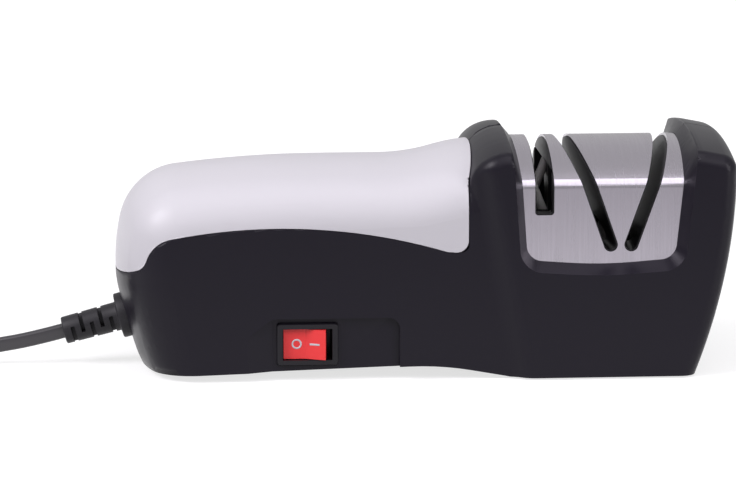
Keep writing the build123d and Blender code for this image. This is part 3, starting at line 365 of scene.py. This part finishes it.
@dataclass(frozen=True)
class BrushedMetal:
    """Metal with a brushed or turned surface, duller in the grooves than on the ridges."""

    colour: Colour
    roughness: float
    direction: Point
    fineness: float = 900.0
    contrast: float = 0.25
    relief: float = 0.25
    depth: float = 0.00003
    line_span: Pair = (0.25, 0.75)
    dull: float = 1.25
    bright: float = 0.8

    def build(self, name: str) -> bpy.types.Material:
        """Builds the material.

        Args:
            name: Name of the material.

        Returns:
            The finished material.
        """
        material, shader = new_material(name)
        tree = material.node_tree
        shader.inputs["Metallic"].default_value = 1.0
        brush = tree.nodes.new("ShaderNodeGroup")
        brush.node_tree = ShaderGroups.brushed_lines()
        brush.inputs["Direction"].default_value = self.direction
        brush.inputs["Fineness"].default_value = self.fineness
        lines = brush.outputs["Lines"]
        tone = add_range(tree, lines, self.line_span, (1.0 - self.contrast, 1.0))
        link(tree, add_shade(tree, opaque(self.colour), tone), shader.inputs["Base Color"])
        rough = add_range(tree, lines, self.line_span,
                          (self.roughness * self.dull, self.roughness * self.bright))
        link(tree, rough, shader.inputs["Roughness"])
        add_bump(tree, lines, shader, self.relief, self.depth)
        return material


@dataclass(frozen=True)
class BondedGrit:
    """Grains of abrasive or fired ceramic with visible specks."""

    colour: Colour
    speck: Colour
    scale: float
    roughness: float = 0.85
    speck_span: Pair = (0.1, 0.55)
    relief: float = 0.4
    depth: float = 0.00015

    def build(self, name: str) -> bpy.types.Material:
        """Builds the material.

        Args:
            name: Name of the material.

        Returns:
            The finished material.
        """
        material, shader = new_material(name)
        tree = material.node_tree
        place = tree.nodes.new("ShaderNodeTexCoord")
        cells = tree.nodes.new("ShaderNodeTexVoronoi")
        cells.inputs["Scale"].default_value = self.scale
        link(tree, place.outputs["Object"], cells.inputs["Vector"])
        ramp = tree.nodes.new("ShaderNodeValToRGB")
        stops = zip(ramp.color_ramp.elements, self.speck_span, (self.speck, self.colour))
        for stop, position, colour in stops:
            stop.position = position
            stop.color = opaque(colour)
        link(tree, cells.outputs["Distance"], ramp.inputs["Fac"])
        link(tree, ramp.outputs["Color"], shader.inputs["Base Color"])
        shader.inputs["Roughness"].default_value = self.roughness
        add_bump(tree, cells.outputs["Distance"], shader, self.relief, self.depth)
        return material


FINISHES: dict[Finish, MouldedPlastic | BrushedMetal | BondedGrit] = {
    Finish.BLACK_SHELL: MouldedPlastic((0.0072, 0.0058, 0.0105), 0.36, relief=0.04, specular=0.17),
    Finish.PALE_SHELL: MouldedPlastic((0.50, 0.49, 0.515), 0.40, variation=0.04, relief=0.02,
                                      specular=0.3),
    Finish.STEEL: BrushedMetal((0.41, 0.385, 0.43), 0.24, (1.0, 0.03, 0.03), fineness=1400.0,
                               contrast=0.10, relief=0.10),
    Finish.GUIDE: MouldedPlastic((0.006, 0.0055, 0.007), 0.45, specular=0.3),
    Finish.PALE_ROD: BondedGrit((0.84, 0.83, 0.81), (0.68, 0.67, 0.65), 5200.0, 0.5),
    Finish.DARK_ROD: BondedGrit((0.52, 0.50, 0.50), (0.40, 0.38, 0.38), 5200.0, 0.5),
    Finish.ZINC: BrushedMetal((0.55, 0.56, 0.58), 0.38, (1.0, 1.0, 1.0), contrast=0.15),
    Finish.GROUND_STEEL: BrushedMetal((0.62, 0.62, 0.64), 0.2, (0.05, 1.0, 1.0), contrast=0.15),
    Finish.TURNED: BrushedMetal((0.7, 0.7, 0.7), 0.3, (1.0, 0.1, 0.1)),
    Finish.GRIT: BondedGrit((0.16, 0.15, 0.15), (0.07, 0.065, 0.065), 2600.0),
    Finish.GREY_PLASTIC: MouldedPlastic((0.09, 0.09, 0.10), 0.5),
    Finish.BRONZE: BrushedMetal((0.5, 0.32, 0.16), 0.45, (1.0, 1.0, 1.0)),
    Finish.FERRITE: BondedGrit((0.08, 0.08, 0.085), (0.05, 0.05, 0.055), 3000.0, 0.7),
    Finish.COPPER: BrushedMetal((0.72, 0.32, 0.16), 0.3, (0.1, 1.0, 1.0), fineness=1500.0),
    Finish.CARBON: BondedGrit((0.035, 0.035, 0.038), (0.02, 0.02, 0.02), 4000.0, 0.6),
    Finish.SWITCH_BLACK: MouldedPlastic((0.0085, 0.0075, 0.0105), 0.32, relief=0.06, specular=0.22),
    Finish.ROCKER_RED: MouldedPlastic((0.74, 0.040, 0.042), 0.30, variation=0.04, relief=0.02,
                                      specular=0.3),
    Finish.TINNED: BrushedMetal((0.70, 0.66, 0.58), 0.25, (1.0, 0.1, 1.0), contrast=0.1),
    Finish.BOARD: MouldedPlastic((0.03, 0.16, 0.07), 0.35),
    Finish.SLEEVING: MouldedPlastic((0.04, 0.06, 0.20), 0.3),
    Finish.LEAD_RED: MouldedPlastic((0.45, 0.03, 0.03), 0.35),
    Finish.CORD: MouldedPlastic((0.032, 0.030, 0.034), 0.32, grain=1800.0, relief=0.08),
    Finish.SOFT_BLACK: MouldedPlastic((0.016, 0.015, 0.018), 0.48, grain=2200.0, relief=0.16,
                                      specular=0.25),
    Finish.FOOT: MouldedPlastic((0.03, 0.03, 0.032), 0.75, grain=1600.0, relief=0.3),
}

MATERIALS: dict[Finish, bpy.types.Material] = {}


def material_of(finish: Finish) -> bpy.types.Material:
    """Gives a finish's material, built the first time it is asked for.

    Args:
        finish: The finish.

    Returns:
        Its material.
    """
    if finish not in MATERIALS:
        MATERIALS[finish] = FINISHES[finish].build(finish.value)
    return MATERIALS[finish]


def dress(piece: bpy.types.Object, finish: Finish) -> None:
    """Gives a piece one finish all over.

    Args:
        piece: The piece.
        finish: Its finish.
    """
    piece.data.materials.clear()
    piece.data.materials.append(material_of(finish))


def pick(piece: bpy.types.Object) -> None:
    """Selects one object alone and makes it active."""
    bpy.ops.object.select_all(action="DESELECT")
    piece.select_set(True)
    bpy.context.view_layer.objects.active = piece


def settle(piece: bpy.types.Object) -> None:
    """Applies a piece's place, turn and size to its mesh."""
    pick(piece)
    bpy.ops.object.transform_apply(location=True, rotation=True, scale=True)


def join(pieces: list[bpy.types.Object]) -> bpy.types.Object:
    """Joins pieces into the first of them and gives it back."""
    pick(pieces[0])
    for piece in pieces[1:]:
        piece.select_set(True)
    bpy.ops.object.join()
    return pieces[0]


def smooth(piece: bpy.types.Object, angle: float) -> None:
    """Shades a piece smooth except at edges sharper than an angle in degrees."""
    pick(piece)
    bpy.ops.object.shade_smooth_by_angle(angle=math.radians(angle))


def round_edges(piece: bpy.types.Object, width: float, angle: float = 30.0) -> None:
    """Rounds the edges of a piece that are sharper than an angle in degrees."""
    pick(piece)
    rounded = piece.modifiers.new("edges", "BEVEL")
    rounded.width = width
    rounded.segments = BEVEL_SEGMENTS
    rounded.angle_limit = math.radians(angle)
    bpy.ops.object.modifier_apply(modifier=rounded.name)


def add_object(name: str, data: bpy.types.ID) -> bpy.types.Object:
    """Puts a mesh, a curve, a lamp or a camera into the scene under a name."""
    piece = bpy.data.objects.new(name, data)
    bpy.context.scene.collection.objects.link(piece)
    return piece


def seat(piece: bpy.types.Object, body: str, finish: Finish, *nodes: str) -> bpy.types.Object:
    """Dresses a new piece and ties it to a body.

    Args:
        piece: The new piece.
        body: CAD body that carries it.
        finish: Its finish.
        nodes: CAD nodes that it stands for.

    Returns:
        The same piece.
    """
    dress(piece, finish)
    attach(piece, body)
    if nodes:
        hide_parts(*nodes)
    return piece


def smooth_copy(node: str, finish: Finish, body: str = "housing",
                angle: float = 32.0) -> bpy.types.Object:
    """Copies a CAD node, closes its loose triangles and shades it by its true faces.

    Args:
        node: Name of the CAD node.
        finish: Finish of the copy.
        body: CAD body that carries the copy.
        angle: Sharpest angle, in degrees, that is still shaded smooth.

    Returns:
        The copy, which replaces the node.
    """
    piece = add_object(f"{node}_skin", frame["nodes"][node].data.copy())
    pick(piece)
    bpy.ops.object.mode_set(mode="EDIT")
    bpy.ops.mesh.select_all(action="SELECT")
    bpy.ops.mesh.remove_doubles(threshold=MERGE_DISTANCE)
    bpy.ops.mesh.dissolve_limited(angle_limit=math.radians(FLAT_ANGLE))
    bpy.ops.object.mode_set(mode="OBJECT")
    smooth(piece, angle)
    evened = piece.modifiers.new("even_normals", "WEIGHTED_NORMAL")
    evened.keep_sharp = True
    evened.mode = "FACE_AREA"
    evened.weight = NORMAL_WEIGHT
    bpy.ops.object.modifier_apply(modifier=evened.name)
    return seat(piece, body, finish, node)


@dataclass
class MouldedShell:
    """The black clamshell of handle and head, and the pale cover that caps the handle."""

    smooth_angle: float = 30.0  # degrees

    def build(self) -> list[bpy.types.Object]:
        """Builds the three mouldings.

        Returns:
            The pieces.
        """
        return [
            smooth_copy("front_housing", Finish.BLACK_SHELL, angle=self.smooth_angle),
            smooth_copy("rear_housing", Finish.BLACK_SHELL, angle=self.smooth_angle),
            smooth_copy("top_cover", Finish.PALE_SHELL, angle=self.smooth_angle),
        ]


@dataclass
class SteelHead:
    """The bent sheet over the head, the guide behind its slots and the crossed rods."""

    sheet_angle: float = 28.0  # degrees

    def build(self) -> list[bpy.types.Object]:
        """Builds the sheet, the guide and the rods.

        Returns:
            The pieces.
        """
        return [
            smooth_copy("steel_sleeve", Finish.STEEL, angle=self.sheet_angle),
            smooth_copy("slot_guide", Finish.GUIDE),
            smooth_copy("ceramic_rod_front", Finish.PALE_ROD),
            smooth_copy("ceramic_rod_rear", Finish.DARK_ROD),
        ]


@dataclass
class PowerSwitch:
    """The rocker with its raised marks, and the switch body around it."""

    ring_radius: float = 0.00145
    ring_wire: float = 0.00030
    ring_segments: int = 40
    wire_segments: int = 10
    dash_length: float = 0.0036
    dash_width: float = 0.0007
    mark_height: float = 0.00012
    mark_reach: float = 0.0030
    mark_angle: float = 50.0  # degrees
    front_limit: float = -0.85  # normal Y above which a face is not part of the front

    def face_of(self, rocker: bpy.types.Object, side: float) -> tuple[Vector, Vector]:
        """Finds the place of a mark on one half of the rocker's face, and the way that half faces.

        Args:
            rocker: The rocker.
            side: -1 for the half towards the cord, 1 for the half towards the head.

        Returns:
            The place of the mark and the half's outward direction.
        """
        corners = [vertex.co.x for vertex in rocker.data.vertices]
        middle = (min(corners) + max(corners)) / 2.0
        area, centre, normal = 0.0, Vector(), Vector()
        for polygon in rocker.data.polygons:
            faces_front = polygon.normal.y < self.front_limit
            if faces_front and side * (polygon.center.x - middle) > 0.0:
                area += polygon.area
                centre += polygon.center * polygon.area
                normal += polygon.normal * polygon.area
        centre, outward = centre / area, normal.normalized()
        run = outward.cross(UP).normalized()
        return centre + run * (middle + side * self.mark_reach - centre.x) / run.x, outward

    def ring(self) -> bpy.types.Object:
        """Makes the off mark, a flat ring, about the origin with Z outward.

        Returns:
            The ring.
        """
        bpy.ops.mesh.primitive_torus_add(
            major_radius=self.ring_radius, minor_radius=self.ring_wire,
            major_segments=self.ring_segments, minor_segments=self.wire_segments)
        mark = bpy.context.object
        mark.name = "rocker_mark_off"
        mark.scale = (1.0, 1.0, self.mark_height / self.ring_wire)
        settle(mark)
        return mark

    def dash(self) -> bpy.types.Object:
        """Makes the on mark, a flat bar with rounded ends, about the origin with Z outward.

        Returns:
            The bar.
        """
        bpy.ops.mesh.primitive_cube_add(size=1.0)
        mark = bpy.context.object
        mark.name = "rocker_mark_on"
        mark.scale = (self.dash_length, self.dash_width, 2.0 * self.mark_height)
        settle(mark)
        round_edges(mark, self.mark_height)
        return mark

    def build(self) -> list[bpy.types.Object]:
        """Builds the switch.

        Returns:
            The pieces.
        """
        body = smooth_copy("switch_body", Finish.SWITCH_BLACK)
        rocker = smooth_copy("switch_rocker", Finish.ROCKER_RED, body="rocker")
        pieces = [body, rocker]
        for mark, side in ((self.ring(), -1.0), (self.dash(), 1.0)):
            centre, outward = self.face_of(rocker, side)
            along = outward.cross(UP).normalized()
            up = along.cross(outward).normalized()
            turn = Matrix((-along, up, outward)).transposed().to_4x4()
            mark.matrix_world = Matrix.Translation(centre) @ turn
            settle(mark)
            smooth(mark, self.mark_angle)
            dress(mark, Finish.PALE_SHELL)
            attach(mark, "rocker")
            pieces.append(mark)
        return pieces


@dataclass
class StrainRelief:
    """The flanged boot round the cord, slit from both edges so that it can bend."""

    root: Point = (-0.1012, 0.0, 0.0172)
    dip: float = 14.6  # degrees below level
    sides: int = 48
    flange_radius: float = 0.0078
    flange_depth: float = 0.0057
    length: float = 0.0252
    radius_root: float = 0.0050
    radius_end: float = 0.0047
    end_limit: float = 0.9  # normal Z above which a face is part of the end
    web_sides: int = 32
    web_reach: float = 0.0045
    web_half: float = 0.0014
    slit_width: float = 0.0014
    slit_first: float = 0.0025
    slit_pitch: float = 0.0034
    slit_count: int = 5
    slit_over: float = 0.0014
    edge: float = 0.0006
    edge_angle: float = 40.0  # degrees

    def turned(self, piece: bpy.types.Object) -> None:
        """Moves a piece made along local Z to the boot's own axis, which dips away along -X.

        Args:
            piece: The piece, with the boot's root at the origin.
        """
        lean = Matrix.Rotation(math.radians(-90.0 - self.dip), 4, "Y")
        piece.matrix_world = Matrix.Translation(Vector(self.root)) @ lean
        settle(piece)

    def boot_body(self) -> bpy.types.Object:
        """Makes the flange and the tapered boot as one closed turned form.

        Returns:
            The form, about the origin along Z.
        """
        bpy.ops.mesh.primitive_cylinder_add(
            vertices=self.sides, radius=self.flange_radius, depth=self.flange_depth,
            location=(0.0, 0.0, self.flange_depth / 2.0))
        boot = bpy.context.object
        boot.name = "strain_relief_boot"
        bpy.ops.object.mode_set(mode="EDIT")
        bpy.ops.mesh.select_mode(type="FACE")
        bpy.ops.mesh.select_all(action="DESELECT")
        bpy.ops.object.mode_set(mode="OBJECT")
        for polygon in boot.data.polygons:
            polygon.select = polygon.normal.z > self.end_limit
        bpy.ops.object.mode_set(mode="EDIT")
        bpy.ops.mesh.inset(thickness=self.flange_radius - self.radius_root)
        taper = self.radius_end / self.radius_root
        bpy.ops.mesh.extrude_region_move(
            TRANSFORM_OT_translate={"value": (0.0, 0.0, self.length - self.flange_depth)})
        bpy.ops.transform.resize(value=(taper, taper, 1.0))
        bpy.ops.object.mode_set(mode="OBJECT")
        return boot

    def slits(self) -> bpy.types.Object:
        """Makes the cutter for the slits, which open at the bottom and the top in turn.

        Returns:
            One object with all the slits.
        """
        depth = self.flange_radius + self.slit_over
        cutters = []
        for index in range(self.slit_count):
            side = 1.0 if index % 2 else -1.0
            place = self.flange_depth + self.slit_first + self.slit_pitch * index
            bpy.ops.mesh.primitive_cube_add(size=1.0)
            slit = bpy.context.object
            slit.scale = (depth, 4.0 * self.radius_root, self.slit_width)
            slit.location = (side * (depth / 2.0 - self.slit_over), 0.0, place)
            settle(slit)
            cutters.append(slit)
        return join(cutters)

    def web(self) -> bpy.types.Object:
        """Makes the flat web that runs through the boot and closes the slits at their ends.

        Returns:
            The web, about the origin along Z.
        """
        bpy.ops.mesh.primitive_cylinder_add(
            vertices=self.web_sides, radius=1.0, depth=self.length - 2.0 * self.edge,
            location=(0.0, 0.0, self.length / 2.0))
        web = bpy.context.object
        web.scale = (self.web_reach, self.web_half, 1.0)
        settle(web)
        return web

    def build(self) -> list[bpy.types.Object]:
        """Builds the boot.

        Returns:
            The pieces.
        """
        boot = self.boot_body()
        cutter = self.slits()
        round_edges(boot, self.edge, self.edge_angle)
        cut = boot.modifiers.new("slits", "BOOLEAN")
        cut.operation = "DIFFERENCE"
        cut.object = cutter
        bpy.ops.object.modifier_apply(modifier=cut.name)
        bpy.data.objects.remove(cutter)
        join([boot, self.web()])
        self.turned(boot)
        smooth(boot, self.edge_angle)
        return [seat(boot, "housing", Finish.SOFT_BLACK, "strain_relief")]


@dataclass
class MainsCord:
    """The flat twin cord, its put-away turns and the plug on its end."""

    width: float = 0.0052
    thickness: float = 0.0032
    groove: float = 0.00045
    cap_steps: int = 8
    cap_angle: float = 70.0  # degrees to either side of a core's outer end
    run: tuple[Point, ...] = (
        (-0.122973, 0.0, 0.011528), (-0.134586, 0.0, 0.008504), (-0.1481, 0.0012, 0.0062),
        (-0.1616, 0.0027, 0.0027), (-0.1736, 0.0027, 0.0027))
    coil_centre: Pair = (-0.1996, 0.0317)
    outer_radius: float = 0.0340
    pitch: float = 0.00333
    columns: int = 4
    crossing: float = 0.25  # part of a turn
    floor_height: float = 0.0027
    layer_height: float = 0.0054
    steps: int = 12  # points to a turn
    join_angle: float = -67.0  # degrees
    point_count: int = 88
    rise: tuple[Point, ...] = (
        (-0.2334, 0.0360, 0.0092), (-0.2277, 0.0529, 0.0124), (-0.2204, 0.0604, 0.0168),
        (-0.2166, 0.0607, 0.01765), (-0.2126, 0.0607, 0.01765))
    order: int = 3
    resolution: int = 6
    real_length: float = 1.41

    def lane(self, turns: float) -> Pair:
        """Gives the radius and the height of the coil after some turns.

        The turns lie side by side inwards and then, in the upper layer, outwards again. The cord
        crosses from one to the next in the last part of each turn.

        Args:
            turns: Turns from where the cord joins the coil.

        Returns:
            The radius of the cord's middle and its height over the floor.
        """
        lanes = [(column, 0) for column in range(self.columns)]
        lanes += [(column, 1) for column in reversed(range(self.columns))]
        whole = min(int(turns), len(lanes) - 1)
        following = min(whole + 1, len(lanes) - 1)
        shift = max(0.0, (turns - whole - (1.0 - self.crossing)) / self.crossing)
        shift = min(shift, 1.0)
        column = lanes[whole][0] + (lanes[following][0] - lanes[whole][0]) * shift
        layer = lanes[whole][1] + (lanes[following][1] - lanes[whole][1]) * shift
        return (self.outer_radius - self.pitch * column,
                self.floor_height + self.layer_height * layer)

    def turns(self) -> list[Point]:
        """Gives the spline's points round the coil, clockwise from above.

        Returns:
            The points.
        """
        # Half way along a span the spline weighs its three points 1, 6 and 1 in 8, so that it
        # runs inside them by this factor.
        inward = (6.0 + 2.0 * math.cos(2.0 * math.pi / self.steps)) / 8.0
        points = []
        for index in range(self.point_count):
            done = index / self.steps
            radius, height = self.lane(done)
            angle = math.radians(self.join_angle) - 2.0 * math.pi * done
            points.append((self.coil_centre[0] + radius / inward * math.cos(angle),
                           self.coil_centre[1] + radius / inward * math.sin(angle), height))
        return points

    def section(self) -> bpy.types.Object:
        """Makes the cord's section: two round cores side by side with a groove between.

        Returns:
            A hidden curve.
        """
        curve = bpy.data.curves.new("cord_section", "CURVE")
        curve.dimensions = "2D"
        round_half = self.thickness / 2.0
        middle = self.width / 2.0 - round_half
        outline = []
        for side in (1.0, -1.0):
            for step in range(self.cap_steps + 1):
                angle = math.radians(self.cap_angle * (2.0 * step / self.cap_steps - 1.0))
                outline.append((side * (middle + round_half * math.cos(angle)),
                                side * round_half * math.sin(angle)))
            outline.append((0.0, side * (round_half - self.groove)))
        spline = curve.splines.new("POLY")
        spline.points.add(len(outline) - 1)
        for point, (across, up) in zip(spline.points, outline):
            point.co = (up, across, 0.0, 1.0)
        spline.use_cyclic_u = True
        section = add_object("cord_section", curve)
        section.hide_render = True
        section.hide_viewport = True
        return section

    def build(self) -> list[bpy.types.Object]:
        """Builds the cord and dresses its plug.

        Returns:
            The pieces.
        """
        points = list(self.run) + self.turns() + list(self.rise)
        curve = bpy.data.curves.new("mains_cord", "CURVE")
        curve.dimensions = "3D"
        curve.twist_mode = "Z_UP"
        curve.resolution_u = self.resolution
        spline = curve.splines.new("NURBS")
        spline.points.add(len(points) - 1)
        for place, point in zip(spline.points, points):
            place.co = (*point, 1.0)
        spline.order_u = self.order
        spline.use_endpoint_u = True
        curve.bevel_mode = "OBJECT"
        curve.bevel_object = self.section()
        curve.use_fill_caps = True
        cord = add_object("mains_cord", curve)
        seat(cord, "housing", Finish.CORD, "power_cord", "cord_coil")
        plug = smooth_copy("mains_plug", Finish.SOFT_BLACK)
        pins = smooth_copy("plug_pins", Finish.TINNED)
        return [cord, plug, pins]


@dataclass
class Innards:
    """Everything inside the shell and the small fasteners, which keep their CAD shapes."""

    record: dict

    def build(self) -> list[bpy.types.Object]:
        """Gives every node that still shows the finish that the record names.

        Returns:
            The dressed nodes.
        """
        finishes = {finish.value: finish for finish in Finish}
        dressed = []
        for entry in self.record["subparts"]:
            piece = frame["nodes"][entry["node"]]
            dress(piece, finishes[entry["material_slot"]])
            if not piece.hide_render:
                dressed.append(piece)
        return dressed


@dataclass(frozen=True)
class Softbox:
    """An area lamp: its place, its width and height in metres and its power in watts."""

    name: str
    place: Point
    size: Pair
    power: float


@dataclass
class Studio:
    """Camera, soft lamps, pale floor and white surround."""

    target: Point = (-0.0178, 0.0, 0.0383)
    distance: float = 1.380
    back: Point = (-0.0719, -0.979, 0.1908)
    lens: float = 195.65  # millimetres, as the sensor
    sensor: float = 36.0
    far_clip: float = 50.0
    ambient: float = 0.35  # strength of the surround as a light
    sky_span: Pair = (0.1, 0.5)  # steepness of a ray over which the sky's glow rises
    sky_glow: Pair = (0.6, 0.78)
    floor_side: float = 8.0
    floor_drop: float = 0.0002
    floor_grey: float = 0.35
    floor_roughness: float = 0.9
    floor_specular: float = 0.1
    glow_span: Pair = (0.3, 0.9)  # metres from the origin over which the floor's glow rises
    floor_glow: Pair = (0.72, 0.97)
    sheen_span: Pair = (-0.42, -0.16)  # Y over which the floor's glow in gloss rises
    sheen_glow: Pair = (0.10, 0.95)
    lamp_aim: Point = (0.0, 0.0, 0.03)
    lamp_tint: Colour = (1.0, 0.965, 1.03)
    lamps: tuple[Softbox, ...] = (
        Softbox("key_softbox", (-0.45, -0.9, 0.95), (0.9, 0.6), 1.6),
        Softbox("bend_softbox", (0.25, -0.60, 1.0), (0.6, 1.3), 4.8),
        Softbox("top_softbox", (0.05, -0.2, 1.25), (1.4, 0.3), 1.4),
        Softbox("left_softbox", (-1.15, -0.50, 1.00), (0.7, 0.7), 20.0),
        Softbox("right_softbox", (0.95, -0.8, 0.4), (0.35, 0.8), 6.0),
    )

    def camera(self) -> None:
        """Places the camera."""
        data = bpy.data.cameras.new("view_camera")
        data.lens = self.lens
        data.sensor_width = self.sensor
        data.clip_end = self.far_clip
        camera = add_object("view_camera", data)
        away = Vector(self.back).normalized()
        right = UP.cross(away).normalized()
        up = away.cross(right).normalized()
        turn = Matrix((right, up, away)).transposed().to_4x4()
        camera.matrix_world = Matrix.Translation(Vector(self.target) + away * self.distance) @ turn
        bpy.context.scene.camera = camera

    def lamp(self, softbox: Softbox) -> None:
        """Adds a lamp that faces the object.

        Args:
            softbox: The lamp's settings.
        """
        data = bpy.data.lights.new(softbox.name, "AREA")
        data.shape = "RECTANGLE"
        data.size, data.size_y = softbox.size
        data.energy = softbox.power
        data.color = self.lamp_tint
        lamp = add_object(softbox.name, data)
        lamp.location = softbox.place
        aim = Vector(self.lamp_aim) - Vector(softbox.place)
        lamp.rotation_euler = aim.to_track_quat("-Z", "Y").to_euler()

    def surround(self) -> None:
        """Makes the world white to the eye, softer in gloss and softer still as a light."""
        world = bpy.data.worlds.new("surround")
        bpy.context.scene.world = world
        world.use_nodes = True
        tree = world.node_tree
        base = tree.nodes["Background"]
        rays = tree.nodes.new("ShaderNodeLightPath").outputs
        place = tree.nodes.new("ShaderNodeTexCoord").outputs["Generated"]
        parts = tree.nodes.new("ShaderNodeSeparateXYZ")
        link(tree, place, parts.inputs[0])
        sky = add_range(tree, parts.outputs["Z"], self.sky_span, self.sky_glow)
        light = add_mix(tree, rays["Is Glossy Ray"], self.ambient, sky)
        seen = add_math(tree, "MAXIMUM", rays["Is Camera Ray"], rays["Is Transmission Ray"])
        base.inputs["Color"].default_value = WHITE
        link(tree, add_mix(tree, seen, light, 1.0), base.inputs["Strength"])

    def floor(self) -> None:
        """Lays the pale floor, which keeps the object's shadow and brightens with distance."""
        bpy.ops.mesh.primitive_plane_add(
            size=self.floor_side, location=(0.0, 0.0, -self.floor_drop))
        floor = bpy.context.object
        floor.name = "studio_floor"
        settle(floor)
        material, shader = new_material("studio_floor")
        tree = material.node_tree
        shader.inputs["Base Color"].default_value = opaque((self.floor_grey,) * 3)
        shader.inputs["Roughness"].default_value = self.floor_roughness
        shader.inputs["Specular IOR Level"].default_value = self.floor_specular
        rays = tree.nodes.new("ShaderNodeLightPath").outputs
        place = tree.nodes.new("ShaderNodeTexCoord").outputs["Object"]
        parts = tree.nodes.new("ShaderNodeSeparateXYZ")
        link(tree, place, parts.inputs[0])
        sheen = add_range(tree, parts.outputs["Y"], self.sheen_span, self.sheen_glow)
        gloss = add_math(tree, "MULTIPLY", sheen, rays["Is Glossy Ray"])
        reach = tree.nodes.new("ShaderNodeVectorMath")
        reach.operation = "LENGTH"
        link(tree, place, reach.inputs[0])
        spread = add_range(tree, reach.outputs["Value"], self.glow_span, self.floor_glow)
        glow = add_mix(tree, rays["Is Camera Ray"], gloss, spread)
        shader.inputs["Emission Color"].default_value = WHITE
        link(tree, glow, shader.inputs["Emission Strength"])
        floor.data.materials.append(material)

    def build(self) -> None:
        """Sets up the studio."""
        self.camera()
        self.surround()
        self.floor()
        for softbox in self.lamps:
            self.lamp(softbox)
        bpy.context.scene.view_settings.view_transform = "Standard"


def main() -> None:
    """Builds the studio and every sub-assembly in order."""
    logging.basicConfig(level=logging.INFO)
    Studio().build()
    assemblies = [
        StrainRelief(),
        MainsCord(),
        MouldedShell(),
        SteelHead(),
        PowerSwitch(),
        Innards(frame["record"]),
    ]
    for assembly in assemblies:
        for piece in assembly.build():
            log.info("%s: %s", type(assembly).__name__, piece.name)


if __name__ == "__main__":
    main()
